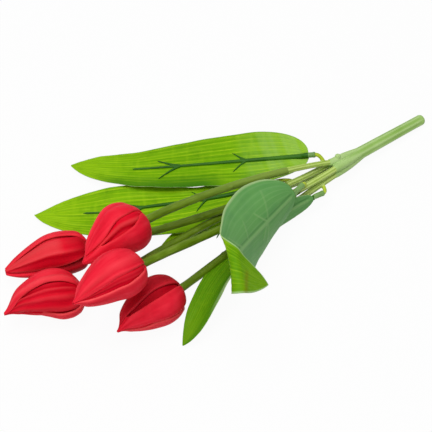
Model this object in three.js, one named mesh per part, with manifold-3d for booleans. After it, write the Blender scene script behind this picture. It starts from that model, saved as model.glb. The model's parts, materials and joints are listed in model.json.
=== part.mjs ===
// Artificial tulip bouquet: five red tulips and five leaves on one moulded handle, lying on a table.
// Millimetres, +Z up. +X runs along the handle to its free end, and the flowers lie towards -X.

import * as THREE from 'three';
import { mergeVertices } from 'three/addons/utils/BufferGeometryUtils.js';
import Module from 'manifold-3d';

const wasm = await Module();
wasm.setup();

// Clearances
const FIT = 0.3; // all round a plug, pin or wire in its bore
const ROOT_FIT = 0.8; // all round a branch's ball in the crown, which lets the branch bend
const SEAT = 0.3; // between a piece and what it is glued to or pushed against
const LAYER_GAP = 0.9; // between the inner petals and the outer ones
const BARB_GAP = 0.6; // under the leaf rib's side barbs, which lie on a curved blade
const CUT_PAST = 1; // how far a cutting body runs past a face

// Facets
const SIDES = 8; // round a branch, stem, wire or socket
const THIN_SIDES = 6; // round a peg or a branch's wire
const BRANCH_STEPS = 5;
const PEG_STEPS = 4;
const STEM_STEPS = 8;
const RIB_STEPS = 9;
const FOLD_STEPS = 7;
const BALL_RINGS = [15, 40, 65]; // degrees from the pole of a branch's ball

// Handle
const HANDLE_LENGTH = 91.5;
const HANDLE_NECK_DIA = 9.6;
const HANDLE_END_DIA = 8.4;
const HANDLE_END_FLAT_DIA = 5;
const HANDLE_END_ROUND = 2.2;
const HANDLE_RIDGES = 8;
const HANDLE_RIDGE_DEPTH = 0.35;
const HANDLE_SWING = 2.6; // degrees that its free end lies towards +Y
const CROWN_HEIGHT = 14; // the crown's middle above the table
const CROWN_RING_DIA = 9.8; // circle through the five branch roots
const CROWN_WALL = 0.6; // outside the branch roots
const CROWN_LENGTH = 14;
const STUB_DIA = 3.8; // a leaf peg trimmed short beside the crown
const STUB_HEIGHT = 2.2;
const STUB_FROM_CROWN = 3.5;
const STUB_ANGLE = 70;
const CORE_WIRE_DIA = 2.2;
const CORE_WIRE_LENGTH = 74;

// Branches
const BRANCH_LENGTH = 38;
const BRANCH_ROOT_DIA = 4.6;
const BRANCH_END_DIA = 5.2;
const PLUG_DIA = 3.4;
const PLUG_LENGTH = 8;
const BRANCH_WIRE_DIA = 1.2;
const BRANCH_WIRE_FROM_ROOT = 2;

// Leaf pegs on the branches
const PEG_DIA = 3;
const PEG_RISE = 7.5;
const PEG_RUN = 4;
const PIN_DIA = 2;
const PIN_LENGTH = 7;

// Flower stems
const STEM_ROOT_DIA = 5.6;
const STEM_TOP_DIA = 6.2;
const STEM_TIP_DIA = 3.4; // the spigot that the flower head turns on
const STEM_TIP_LENGTH = 9;
const STEM_NUB_DIA = 1.8;
const STEM_NUB_PLACE = 0.55; // share of the way from the crown to the head

// Flower heads
const HEAD_LENGTH = 54.5;
const HEAD_DIA = 32.4;
const HEAD_BASE_DIA = 12.6;
const HEAD_TIP_DIA = 4.4;
const HEAD_WIDEST = 0.35; // share of the length, from the stem
const HEAD_FULLNESS = 1.55; // a higher value keeps the head wide nearer to its tip
const HEAD_CLOSING = 0.9; // a lower value closes the tip more bluntly
const PETAL_THICKNESS = 1.5;
const PETAL_TIP_ANGLE = 22; // half the angle that a petal's tip spans round the head
const PETAL_WINDOW = 17; // how far each margin draws back at mid height, in degrees
const PETAL_WINDOW_TOP = 0.9; // share of the petal's height where its margins meet again
const PETAL_TIP_FROM = 0.82; // share of the height where a petal starts to close to its tip
const PETAL_SIDE_GAP = 3; // between neighbouring margins at the base, in degrees
const INNER_LENGTH = 49.5;
const INNER_NOTCH = 25; // height of the notches between the inner petals
const INNER_POINT = 1.4; // how sharply the inner rim rises to its points
const INNER_THICKNESS = 1.2;
const INNER_SPOKES = 18;
const INNER_ROWS = [0, 0.15, 0.35, 0.6, 0.82, 1]; // shares of the height
const CORE_LENGTH = 28;
const CORE_TOP_DIA = 7;
const CORE_SHOULDER = 0.85; // share of the length

// Leaves
const LEAF_LENGTH = 184; // from the socket's mouth to the tip
const LEAF_WIDTH = 50;
const LEAF_WIDEST = 0.27; // share of the blade's length
const LEAF_SHOULDER = 2.2; // a higher value widens the blade sooner
const LEAF_TAPER = 1.25; // a higher value keeps it wide nearer to its tip
const LEAF_THICKNESS = 0.6;
const LEAF_TIP_WIDTH = 1.6;
const LEAF_NECK_WIDTH = 4;
const SOCKET_DIA = 4.2;
const SOCKET_LENGTH = 11;
const SOCKET_SHOULDER = 3; // closes to the rib
const BLADE_FLAT = 0.1; // the flat strip under the rib, as a share of the width
const ROOT_ROWS = [0, 3, 8, 16]; // points that draw a blade's root, from its start
const ROW_SPACING = 17; // between the points that draw the rest of it
const TIP_ROW = 4; // the last points before the tip
const FOLD_RADIUS = 5; // where a leaf's end is folded over
const RIB_HEIGHT = 1.6;
const RIB_WIDTH = 3.4;
const RIB_END_WIDTH = 1.2;
const RIB_LENGTH = 137; // from the socket's mouth
const RIB_FROM_FOLD = 10; // the rib stops short of a fold
const BARB_PLACES = [51, 103]; // from the socket's mouth
const BARB_RUN = 10;
const BARB_REACH = 9;
const BARB_WIDTH = 2.2;

// How the flowers lie, from the point on the table under the crown. Each branch leaves its place on the
// crown's ring in one direction and its head points in another, both as a heading towards +Y and a rise.
// Reach is towards -X, side is towards +Y and height is above the table, all at the head's base.
// Turn and spread place the widest gap between the outer petals.
const FLOWERS = [
  {
    ring: 62, leave: [13, 16], reach: 150, side: 0.627 * HEAD_DIA, height: 1.352 * HEAD_DIA,
    point: [-6.5, 6.2], turn: -13, spread: 0,
  },
  {
    ring: 350, leave: [-3.4, 6.5], reach: 189.7, side: 1.265 * HEAD_DIA, height: HEAD_DIA / 2,
    point: [17.9, 0.5], turn: -30, spread: 16,
  },
  {
    ring: 278, leave: [15, 1.6], reach: 207.7, side: 0.335 * HEAD_DIA, height: HEAD_DIA / 2,
    point: [14.9, 0], turn: -38, spread: 16,
  },
  {
    ring: 134, leave: [-5.3, 3.8], reach: 174, side: -0.435 * HEAD_DIA, height: 1.657 * HEAD_DIA,
    point: [-3, 6.7], turn: -46, spread: 0,
  },
  {
    ring: 206, leave: [-6, 4.2], reach: 151.2, side: -0.707 * HEAD_DIA, height: 0.404 * HEAD_DIA,
    point: [-6.5, 8.9], turn: -7, spread: 0,
  },
];
const LEAVE_PULL = 0.4; // shares of a stem's span over which its first and last directions hold
const ARRIVE_PULL = 0.12;

// How the leaves stand on their branches. The peg leaves its branch at a distance from the crown, at an
// angle from +Y towards +Z, and then runs on along the leaf. Heading and rise aim the leaf's root, and roll
// turns its upper side over. Cup is how far the margins stand above the rib, at the root and at the tip.
// Each portion of the length then bends towards the upper side, sweeps towards the left margin and twists,
// by so many degrees. A fold turns the end under, along a line skew to the rib.
const LEAVES = [
  {
    size: 1, breadth: 1, peg: 6.8, pegAngle: 49, run: PEG_RUN,
    heading: 39, rise: -12.7, roll: -7.5, cup: [1.2, 2.3],
    portions: [
      { to: 0.65, bend: 11.6, sweep: 8.9, twist: 14.3 },
      { to: 1, bend: -2.4, sweep: -19.5, twist: -5.4 },
    ],
  },
  {
    size: 0.97, breadth: 0.97, peg: 33, pegAngle: -20, run: 11,
    heading: 19.4, rise: -7.2, roll: -5, cup: [0, 3],
    portions: [
      { to: 0.65, bend: 9, sweep: -6, twist: 3 },
      { to: 1, bend: -6, sweep: -24, twist: 6 },
    ],
  },
  {
    size: 0.65, breadth: 0.46, peg: 21, pegAngle: -98, run: PEG_RUN,
    heading: 3, rise: 0.3, roll: 0, cup: [0.5, 1],
    portions: [{ to: 1, bend: 0, sweep: -8, twist: 0 }],
  },
  {
    size: 1, breadth: 1, peg: 32.3, pegAngle: 96, run: PEG_RUN,
    heading: -18.5, rise: 9.2, roll: 113.5, cup: [16, 0],
    portions: [
      { to: 0.45, bend: -24.7, sweep: 16.7, twist: 15.3 },
      { to: 1, bend: 0, sweep: 0, twist: 0 },
    ],
    fold: { at: 141.6, skew: 21.5, angle: 166 },
  },
  {
    size: 0.9, breadth: 0.6, peg: 15.5, pegAngle: 185, run: PEG_RUN,
    heading: 1, rise: 10.6, roll: 110, cup: [4.4, 3.5],
    portions: [
      { to: 0.4, bend: -11.9, sweep: -17.6, twist: -17 },
      { to: 0.72, bend: -13.7, sweep: 13.9, twist: -57.3 },
      { to: 1, bend: -38.3, sweep: -26.6, twist: -38.7 },
    ],
  },
];

function finish(color, roughness, metalness = 0) {
  return new THREE.MeshStandardMaterial({ color, roughness, metalness });
}
const FINISH = {
  handle: finish(0x9bb866, 0.55),
  branch: finish(0x9cba60, 0.5),
  stem: finish(0x5d7320, 0.6),
  blade: finish(0x6ea00a, 0.75),
  rib: finish(0x2f6428, 0.5),
  petal: finish(0xd91a30, 0.7),
  innerPetal: finish(0xc0102a, 0.75),
  core: finish(0x7d9a4a, 0.6),
  wire: finish(0x8a8d90, 0.35, 1),
};

const rad = THREE.MathUtils.degToRad;
const { lerp, smoothstep } = THREE.MathUtils;
const vec = (x, y, z) => new THREE.Vector3(x, y, z);
const range = (count) => Array.from({ length: count }, (_, i) => i);

// Geometry from vertices and triangles, with its faces turned outwards
function closedGeometry(points, triangles) {
  let volume = 0;
  for (const [a, b, c] of triangles) {
    volume += points[a].dot(points[b].clone().cross(points[c]));
  }
  const faces = volume < 0 ? triangles.map(([a, b, c]) => [a, c, b]) : triangles;
  const geometry = new THREE.BufferGeometry();
  geometry.setAttribute('position', new THREE.Float32BufferAttribute(points.flatMap((p) => p.toArray()), 3));
  geometry.setIndex(faces.flat());
  return geometry;
}

// A body through rings of points, closed by a flat face at each end
function loft(rings) {
  const size = rings[0].length;
  const triangles = [];
  for (const i of range(rings.length - 1)) {
    for (const j of range(size)) {
      const a = i * size + j;
      const b = i * size + ((j + 1) % size);
      triangles.push([a, b, b + size], [a, b + size, a + size]);
    }
  }
  const last = (rings.length - 1) * size;
  for (const j of range(size - 2)) {
    triangles.push([0, j + 2, j + 1], [last, last + j + 1, last + j + 2]);
  }
  return closedGeometry(rings.flat(), triangles);
}

// A sheet with thickness, from grids of points on its two faces. A wrapped sheet closes on itself across.
function sheet(front, back, wrapped = false) {
  const rows = front.length;
  const across = front[0].length;
  const spans = wrapped ? across : across - 1;
  const at = (i, j, face) => face * rows * across + i * across + (j % across);
  const triangles = [];
  const quad = (a, b, c, d) => triangles.push([a, b, c], [a, c, d]);
  for (const i of range(rows - 1)) {
    for (const j of range(spans)) {
      quad(at(i, j, 0), at(i, j + 1, 0), at(i + 1, j + 1, 0), at(i + 1, j, 0));
      quad(at(i, j, 1), at(i + 1, j, 1), at(i + 1, j + 1, 1), at(i, j + 1, 1));
    }
    if (!wrapped) {
      quad(at(i, 0, 0), at(i + 1, 0, 0), at(i + 1, 0, 1), at(i, 0, 1));
      quad(at(i, spans, 0), at(i, spans, 1), at(i + 1, spans, 1), at(i + 1, spans, 0));
    }
  }
  for (const j of range(spans)) {
    quad(at(0, j, 0), at(0, j, 1), at(0, j + 1, 1), at(0, j + 1, 0));
    quad(at(rows - 1, j, 0), at(rows - 1, j + 1, 0), at(rows - 1, j + 1, 1), at(rows - 1, j, 1));
  }
  return closedGeometry([...front.flat(), ...back.flat()], triangles);
}

function toSolid(geometry) {
  const bare = geometry.clone();
  bare.deleteAttribute('normal');
  bare.deleteAttribute('uv');
  const merged = mergeVertices(bare, 1e-4);
  const vertProperties = new Float32Array(merged.attributes.position.array);
  const triVerts = new Uint32Array(merged.index.array);
  return new wasm.Manifold(new wasm.Mesh({ numProp: 3, vertProperties, triVerts }));
}

// One geometry with others joined to it and then others cut from it
function combine(base, joined, cut) {
  let solid = toSolid(base);
  for (const geometry of joined) {
    solid = solid.add(toSolid(geometry));
  }
  for (const geometry of cut) {
    solid = solid.subtract(toSolid(geometry));
  }
  const mesh = solid.getMesh();
  const geometry = new THREE.BufferGeometry();
  geometry.setAttribute('position', new THREE.BufferAttribute(new Float32Array(mesh.vertProperties), 3));
  geometry.setIndex(new THREE.BufferAttribute(new Uint32Array(mesh.triVerts), 1));
  return geometry;
}

function lathe(profile) {
  return new THREE.LatheGeometry(profile.map(([x, y]) => new THREE.Vector2(x, y)), SIDES);
}

function addPiece(parent, name, geometry, material) {
  const mesh = new THREE.Mesh(geometry, material);
  mesh.name = name;
  parent.add(mesh);
}

// A path by distance along a curve, running straight on past both ends
class Route {
  constructor(curve) {
    this.curve = curve;
    this.length = curve.getLength();
  }

  frame(distance) {
    const inside = THREE.MathUtils.clamp(distance, 0, this.length);
    const along = this.curve.getTangentAt(inside / this.length);
    const point = this.curve.getPointAt(inside / this.length).addScaledVector(along, distance - inside);
    const side = along.clone().cross(vec(0, 0, 1)).normalize();
    return { point, along, side, up: side.clone().cross(along) };
  }

  // A round body with a radius at each of several distances
  body(stations, sides) {
    const rings = stations.map(([distance, radius]) => {
      const { point, side, up } = this.frame(distance);
      return range(sides).map((j) => {
        const angle = (2 * Math.PI * j) / sides;
        const offset = side.clone().multiplyScalar(Math.cos(angle)).addScaledVector(up, Math.sin(angle));
        return point.clone().addScaledVector(offset, radius);
      });
    });
    return loft(rings);
  }
}

const evenly = (from, to, steps) => range(steps + 1).map((i) => lerp(from, to, i / steps));

// Handle, drawn along its own +Z from the crown's face to the free end

const rootRadius = BRANCH_ROOT_DIA / 2;
const crownRadius = CROWN_RING_DIA / 2 + rootRadius + ROOT_FIT + CROWN_WALL;
const bouquet = new THREE.Group();

function handleRadius(z) {
  const body = lerp(HANDLE_NECK_DIA, HANDLE_END_DIA, smoothstep(z, CROWN_LENGTH, HANDLE_LENGTH)) / 2;
  const flare = 1 - smoothstep(z, 0, CROWN_LENGTH);
  const rounding = Math.max(0, z - (HANDLE_LENGTH - HANDLE_END_ROUND)) / HANDLE_END_ROUND;
  const drawnIn = 1 - Math.sqrt(Math.max(0, 1 - rounding ** 2));
  return lerp(body, crownRadius, flare) - (body - HANDLE_END_FLAT_DIA / 2) * drawnIn;
}

// A branch root's place on the crown's face
function ringPoint(ring) {
  return vec((CROWN_RING_DIA / 2) * Math.cos(rad(ring)), (CROWN_RING_DIA / 2) * Math.sin(rad(ring)), 0);
}

function handleGeometry() {
  const sides = 2 * HANDLE_RIDGES;
  const roundFrom = HANDLE_LENGTH - HANDLE_END_ROUND;
  const heights = [
    ...evenly(0, CROWN_LENGTH, 4),
    ...evenly(CROWN_LENGTH, roundFrom, 3).slice(1),
    ...evenly(roundFrom, HANDLE_LENGTH, 2).slice(1),
  ];
  const rings = heights.map((z) => {
    const ridged = smoothstep(z, 0, CROWN_LENGTH) * (z < roundFrom ? 1 : 0);
    return range(sides).map((j) => {
      const radius = handleRadius(z) - (j % 2) * HANDLE_RIDGE_DEPTH * ridged;
      const angle = (2 * Math.PI * j) / sides;
      return vec(radius * Math.cos(angle), radius * Math.sin(angle), z);
    });
  });
  const stub = new THREE.CylinderGeometry(STUB_DIA / 2, STUB_DIA / 2, crownRadius + STUB_HEIGHT, SIDES);
  stub.translate(0, (crownRadius + STUB_HEIGHT) / 2, 0).rotateZ(rad(STUB_ANGLE - 90));
  stub.translate(0, 0, STUB_FROM_CROWN + STUB_DIA / 2);
  const rootSockets = FLOWERS.map(({ ring }) => {
    const socket = new THREE.SphereGeometry(rootRadius + ROOT_FIT, SIDES, THIN_SIDES);
    return socket.translate(...ringPoint(ring).toArray());
  });
  const depth = CORE_WIRE_LENGTH + SEAT;
  const bore = new THREE.CylinderGeometry(CORE_WIRE_DIA / 2 + FIT, CORE_WIRE_DIA / 2 + FIT, 2 * depth, SIDES);
  return combine(loft(rings), [stub], [...rootSockets, bore.rotateX(Math.PI / 2)]);
}

const handle = new THREE.Group();
const handleTilt = Math.asin((CROWN_HEIGHT - HANDLE_END_DIA / 2) / HANDLE_LENGTH);
handle.position.z = CROWN_HEIGHT;
handle.matrix.makeBasis(vec(0, 1, 0), vec(Math.sin(handleTilt), 0, Math.cos(handleTilt)),
  vec(Math.cos(handleTilt), 0, -Math.sin(handleTilt)));
handle.matrix.premultiply(new THREE.Matrix4().makeRotationZ(rad(HANDLE_SWING)));
handle.quaternion.setFromRotationMatrix(handle.matrix);
handle.updateMatrixWorld();
bouquet.add(handle);
addPiece(handle, 'handle', handleGeometry(), FINISH.handle);
const coreWire = new THREE.CylinderGeometry(CORE_WIRE_DIA / 2, CORE_WIRE_DIA / 2, CORE_WIRE_LENGTH, SIDES);
coreWire.rotateX(Math.PI / 2).translate(0, 0, CORE_WIRE_LENGTH / 2);
addPiece(handle, 'core_wire', coreWire, FINISH.wire);

// Aims: a direction from a heading towards +Y and a rise towards +Z, both measured from -X
function aim(heading, rise) {
  const level = Math.cos(rad(rise));
  return vec(-level * Math.cos(rad(heading)), level * Math.sin(rad(heading)), Math.sin(rad(rise)));
}

// A branch and its flower stem follow one curve from the crown to the head's base
function flowerRoute({ ring, leave, reach, side, height, point }) {
  const root = handle.localToWorld(ringPoint(ring));
  const top = vec(-reach, side, height);
  const span = root.distanceTo(top);
  const afterRoot = root.clone().addScaledVector(aim(...leave), LEAVE_PULL * span);
  const beforeTop = top.clone().addScaledVector(aim(...point), -ARRIVE_PULL * span);
  return new Route(new THREE.CubicBezierCurve3(root, afterRoot, beforeTop, top));
}

// A leaf's root: the point where its socket starts, and the axes along, across and out of its upper side
function leafRoot(leaf, route) {
  const along = aim(leaf.heading, leaf.rise);
  const level = vec(0, 0, 1).cross(along).normalize();
  const across = level.applyAxisAngle(along, rad(leaf.roll));
  const branch = route.frame(leaf.peg).point;
  const out = vec(0, Math.cos(rad(leaf.pegAngle)), Math.sin(rad(leaf.pegAngle)));
  const elbow = branch.clone().addScaledVector(out, PEG_RISE);
  const mouth = elbow.clone().addScaledVector(along, leaf.run);
  return { branch, elbow, mouth, along, across, upper: along.clone().cross(across) };
}

// Distances and radii along a branch's wire, or along the bore round it
function wireStations(from, pastBranch, radius) {
  return evenly(from, BRANCH_LENGTH + pastBranch, BRANCH_STEPS).map((s) => [s, radius]);
}

function branchGeometry(route, root) {
  const ball = BALL_RINGS.map(rad).map((turn) => [-rootRadius * Math.cos(turn), rootRadius * Math.sin(turn)]);
  const shaft = evenly(0, 1, BRANCH_STEPS).map((t) => [
    t * BRANCH_LENGTH,
    lerp(BRANCH_ROOT_DIA, BRANCH_END_DIA, t) / 2,
  ]);
  const plugEnd = BRANCH_LENGTH + PLUG_LENGTH;
  const plug = [
    [BRANCH_LENGTH, PLUG_DIA / 2],
    [plugEnd - PLUG_DIA / 4, PLUG_DIA / 2],
    [plugEnd, PLUG_DIA / 2 - FIT],
  ];
  const peg = new Route(new THREE.QuadraticBezierCurve3(root.branch, root.elbow, root.mouth));
  const pinFrom = peg.length - SEAT;
  const pegBody = peg.body([
    ...evenly(0, pinFrom, PEG_STEPS).map((s) => [s, PEG_DIA / 2]),
    [pinFrom, PIN_DIA / 2],
    [peg.length + PIN_LENGTH, PIN_DIA / 2],
  ], THIN_SIDES);
  const boreRadius = BRANCH_WIRE_DIA / 2 + FIT;
  const bore = wireStations(BRANCH_WIRE_FROM_ROOT - SEAT, PLUG_LENGTH + CUT_PAST, boreRadius);
  return combine(route.body([...ball, ...shaft, ...plug], SIDES), [pegBody], [route.body(bore, THIN_SIDES)]);
}

function stemGeometry(route) {
  const from = BRANCH_LENGTH + SEAT;
  const shoulder = route.length;
  const shaft = evenly(from, shoulder, STEM_STEPS).map((s) => [
    s,
    lerp(STEM_ROOT_DIA, STEM_TOP_DIA, s / shoulder) / 2,
  ]);
  const tip = [[shoulder, STEM_TIP_DIA / 2], [shoulder + STEM_TIP_LENGTH, STEM_TIP_DIA / 2]];
  const socketRadius = PLUG_DIA / 2 + FIT;
  const socket = evenly(from - CUT_PAST, from + PLUG_LENGTH + SEAT, 2).map((s) => [s, socketRadius]);
  const nub = new THREE.SphereGeometry(STEM_NUB_DIA / 2, THIN_SIDES, 4);
  const { point, up, side } = route.frame(STEM_NUB_PLACE * shoulder);
  const outward = up.clone().sub(side).setLength(STEM_ROOT_DIA / 2);
  nub.translate(...point.add(outward).toArray());
  return combine(route.body([...shaft, ...tip], SIDES), [nub], [route.body(socket, SIDES)]);
}

// Flower heads, drawn along their own +Z from the stem's shoulder to the tip

// The head's outside radius at a height
function headRadius(z) {
  const widest = HEAD_WIDEST * HEAD_LENGTH;
  const radius = HEAD_DIA / 2;
  if (z < widest) {
    const base = HEAD_BASE_DIA / 2;
    return base + (radius - base) * Math.sqrt(1 - ((widest - z) / widest) ** 2);
  }
  const tip = HEAD_TIP_DIA / 2;
  const share = (z - widest) / (HEAD_LENGTH - widest);
  return tip + (radius - tip) * (1 - share ** HEAD_FULLNESS) ** HEAD_CLOSING;
}

const aroundHead = (radius, angle, z) => vec(radius * Math.cos(rad(angle)), radius * Math.sin(rad(angle)), z);

// Half the angle that an outer petal spans at a share of its height
function petalSpan(share, spread) {
  const full = (120 - spread) / 2 - PETAL_SIDE_GAP;
  const window = PETAL_WINDOW * Math.sin(Math.PI * Math.min(1, share / PETAL_WINDOW_TOP)) ** 2;
  return lerp(full - window, PETAL_TIP_ANGLE, smoothstep(share, PETAL_TIP_FROM, 1));
}

function outerPetalGeometry(spread) {
  const rows = [0, 0.1, 0.24, 0.4, 0.58, 0.75, 0.9, 1];
  const columns = evenly(-1, 1, 4);
  const face = (inset) => rows.map((share) => {
    const z = lerp(SEAT, HEAD_LENGTH, share);
    return columns.map((c) => aroundHead(headRadius(z) - inset, c * petalSpan(share, spread), z));
  });
  return sheet(face(0), face(PETAL_THICKNESS));
}

const innerRadius = (z) => headRadius(z) - PETAL_THICKNESS - LAYER_GAP;

// The three inner petals are one cup whose rim rises to three points
function innerPetalsGeometry() {
  const face = (inset) => INNER_ROWS.map((share) => range(INNER_SPOKES).map((j) => {
    const angle = (360 * j) / INNER_SPOKES;
    const fromMiddle = Math.abs(((angle + 60) % 120) - 60) / 60;
    const z = lerp(2 * SEAT, lerp(INNER_LENGTH, INNER_NOTCH, fromMiddle ** INNER_POINT), share);
    return aroundHead(innerRadius(z) - inset, angle, z);
  }));
  return sheet(face(0), face(INNER_THICKNESS), true);
}

// The plug in the middle of a head fills the bottom of the inner petals, and its bore turns on the stem's tip
function coreGeometry() {
  const bore = STEM_TIP_DIA / 2 + FIT;
  const depth = STEM_TIP_LENGTH + SEAT;
  const low = 2 * SEAT;
  const high = lerp(low, INNER_LENGTH, INNER_ROWS[1]);
  const inside = (z) => (innerRadius(z) - INNER_THICKNESS) * Math.cos(Math.PI / INNER_SPOKES) - SEAT;
  return lathe([
    [0, depth],
    [bore, depth],
    [bore, low],
    [inside(low), low],
    [inside(high), high],
    [CORE_TOP_DIA / 2, CORE_LENGTH / 2],
    [CORE_TOP_DIA / 2, CORE_SHOULDER * CORE_LENGTH],
    [0, CORE_LENGTH],
  ]).rotateX(Math.PI / 2);
}

function addHead(number, flower, route) {
  const head = new THREE.Group();
  const { point, along, up } = route.frame(route.length);
  const window = up.clone().applyAxisAngle(along, rad(flower.turn));
  head.matrix.makeBasis(window, along.clone().cross(window), along);
  head.quaternion.setFromRotationMatrix(head.matrix);
  head.position.copy(point);
  bouquet.add(head);
  addPiece(head, `bud_core_${number}`, coreGeometry(), FINISH.core);
  addPiece(head, `inner_petals_${number}`, innerPetalsGeometry(), FINISH.innerPetal);
  const places = { a: 60 + flower.spread / 2, b: 180, c: 300 - flower.spread / 2 };
  for (const [letter, angle] of Object.entries(places)) {
    const petal = outerPetalGeometry(flower.spread).rotateZ(rad(angle));
    addPiece(head, `outer_petal_${number}${letter}`, petal, FINISH.petal);
  }
}

// Leaves, drawn along their own +X from the socket's mouth, with the upper side towards +Z

// A leaf's shape: its middle line, which leaves the socket straight and then turns by its portions
class Leaf {
  constructor({ size, breadth, cup, portions, fold }) {
    this.size = size;
    this.cup = cup;
    this.portions = portions;
    this.fold = fold;
    this.length = size * LEAF_LENGTH;
    this.half = (breadth * LEAF_WIDTH) / 2;
    this.from = SOCKET_LENGTH + SEAT;
    const steps = 160;
    const stride = (this.length - SOCKET_LENGTH) / steps;
    const turn = new THREE.Quaternion();
    const axes = { bend: vec(0, -1, 0), sweep: vec(0, 0, 1), twist: vec(1, 0, 0) };
    const point = vec(SOCKET_LENGTH, 0, 0);
    this.stride = stride;
    this.places = [{ point: point.clone(), turn: turn.clone() }];
    for (const i of range(steps)) {
      const at = portions.findIndex(({ to }) => (i + 0.5) / steps < to);
      const span = portions[at].to - (at > 0 ? portions[at - 1].to : 0);
      for (const [name, axis] of Object.entries(axes)) {
        const angle = rad(portions[at][name]) / (span * steps);
        turn.multiply(new THREE.Quaternion().setFromAxisAngle(axis, angle));
      }
      point.addScaledVector(vec(1, 0, 0).applyQuaternion(turn), stride);
      this.places.push({ point: point.clone(), turn: turn.clone() });
    }
  }

  share(distance) {
    return THREE.MathUtils.clamp((distance - this.from) / (this.length - this.from), 0, 1);
  }

  // Half the blade's width
  halfWidth(distance) {
    const share = this.share(distance);
    const neck = LEAF_NECK_WIDTH / 2;
    if (share < LEAF_WIDEST) {
      return neck + (this.half - neck) * Math.sqrt(1 - (1 - share / LEAF_WIDEST) ** LEAF_SHOULDER);
    }
    const tip = LEAF_TIP_WIDTH / 2;
    const past = (share - LEAF_WIDEST) / (1 - LEAF_WIDEST);
    return tip + (this.half - tip) * Math.sqrt(1 - past ** LEAF_TAPER);
  }

  // A point beside the middle line and above the blade's curved section
  point(distance, beside, above) {
    const cup = lerp(...this.cup, this.share(distance));
    const slope = Math.atan((2 * cup * beside) / this.half ** 2);
    const height = cup * (beside / this.half) ** 2;
    const flat = vec(distance, beside - above * Math.sin(slope), height + above * Math.cos(slope));
    const reached = this.fold ? this.folded(flat) : distance;
    const index = Math.round((reached - SOCKET_LENGTH) / this.stride);
    const nearest = THREE.MathUtils.clamp(index, 0, this.places.length - 1);
    const place = this.places[nearest];
    flat.x -= SOCKET_LENGTH + nearest * this.stride;
    return flat.applyQuaternion(place.turn).add(place.point);
  }

  // Moves a point on the flat blade round the fold and gives the distance whose place still carries it
  folded(flat) {
    const { at, skew, angle } = this.fold;
    const distance = flat.x;
    const axis = vec(0, 0, 1);
    const local = vec(distance - at, flat.y, flat.z).applyAxisAngle(axis, -rad(skew));
    if (local.x < 0) {
      return distance;
    }
    const round = Math.min(local.x, FOLD_RADIUS * rad(angle)) / FOLD_RADIUS;
    const past = local.x - FOLD_RADIUS * round;
    const radius = FOLD_RADIUS + local.z;
    local.x = radius * Math.sin(round) + past * Math.cos(round);
    local.z = radius * Math.cos(round) - FOLD_RADIUS - past * Math.sin(round);
    flat.copy(local.applyAxisAngle(axis, rad(skew)));
    flat.x += at;
    return Math.min(distance, at);
  }
}

// Distances of the blade's rows, closer together where it is folded
function bladeRows(leaf) {
  const [rootEnd, ...rootRows] = ROOT_ROWS.map((row) => leaf.from + row).reverse();
  const rows = rootRows.reverse();
  const stops = leaf.portions.map(({ to }) => lerp(SOCKET_LENGTH, leaf.length, to));
  if (leaf.fold) {
    stops.splice(-1, 0, leaf.fold.at, leaf.fold.at + FOLD_RADIUS * rad(leaf.fold.angle));
  }
  let from = rootEnd;
  for (const stop of stops) {
    const folding = leaf.fold && from === leaf.fold.at;
    const steps = folding ? FOLD_STEPS : Math.max(2, Math.ceil((stop - from) / ROW_SPACING));
    rows.push(...evenly(from, stop, steps).slice(0, -1));
    from = stop;
  }
  return [...rows, leaf.length - TIP_ROW, leaf.length];
}

// Where a row of the blade meets a share of its half width. Rows lean along the fold where there is one.
function rowDistance(leaf, row, column) {
  if (!leaf.fold) {
    return row;
  }
  const { at, skew } = leaf.fold;
  const lean = Math.tan(rad(skew)) * smoothstep(row, at - leaf.half, at);
  const passes = 6;
  return range(passes).reduce(
    (distance) => Math.min(leaf.length, row - lean * column * leaf.halfWidth(distance)),
    row,
  );
}

function bladeGeometry(leaf) {
  const columns = [-1, -0.5, -BLADE_FLAT, BLADE_FLAT, 0.5, 1];
  const face = (above) => bladeRows(leaf).map((row) => columns.map((column) => {
    const distance = rowDistance(leaf, row, column);
    return leaf.point(distance, column * leaf.halfWidth(distance), above);
  }));
  const top = -RIB_HEIGHT / 2 - SEAT;
  return sheet(face(top), face(top - LEAF_THICKNESS));
}

// A bead on the blade's upper side, through places given as distance, beside and width
function bead(leaf, places, lift) {
  const section = [[-1, 0], [-0.6, 0.75], [0, 1], [0.6, 0.75], [1, 0]];
  const rings = places.map(([distance, beside, width]) => section.map(([across, up]) => {
    const above = -RIB_HEIGHT / 2 + lift + up * (RIB_HEIGHT - lift);
    return leaf.point(distance, beside + (across * width) / 2, above);
  }));
  return loft(rings);
}

function ribGeometry(leaf) {
  const full = leaf.size * RIB_LENGTH;
  const end = leaf.fold ? Math.min(full, leaf.fold.at - RIB_FROM_FOLD) : full;
  const shoulder = SOCKET_LENGTH - SOCKET_SHOULDER;
  const places = evenly(shoulder, end, RIB_STEPS);
  const middle = bead(leaf, places.map((s) => [s, 0, lerp(RIB_WIDTH, RIB_END_WIDTH, s / end)]), 0);
  const barb = (place, hand) => evenly(0, 1, 2).map((t) => [
    leaf.size * (place + t * BARB_RUN),
    hand * t * leaf.size * BARB_REACH,
    lerp(BARB_WIDTH, RIB_END_WIDTH, t),
  ]);
  const barbs = BARB_PLACES.flatMap((place) => [-1, 1].map((hand) => barb(place, hand)));
  const bore = PIN_DIA / 2 + FIT;
  const depth = PIN_LENGTH + SEAT;
  const socket = lathe([
    [0, depth],
    [bore, depth],
    [bore, 0],
    [SOCKET_DIA / 2, 0],
    [SOCKET_DIA / 2, shoulder],
    [0, SOCKET_LENGTH],
  ]);
  const beads = barbs.map((barbPlaces) => bead(leaf, barbPlaces, BARB_GAP - SEAT));
  return combine(socket.rotateZ(-Math.PI / 2), [middle, ...beads], []);
}

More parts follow.
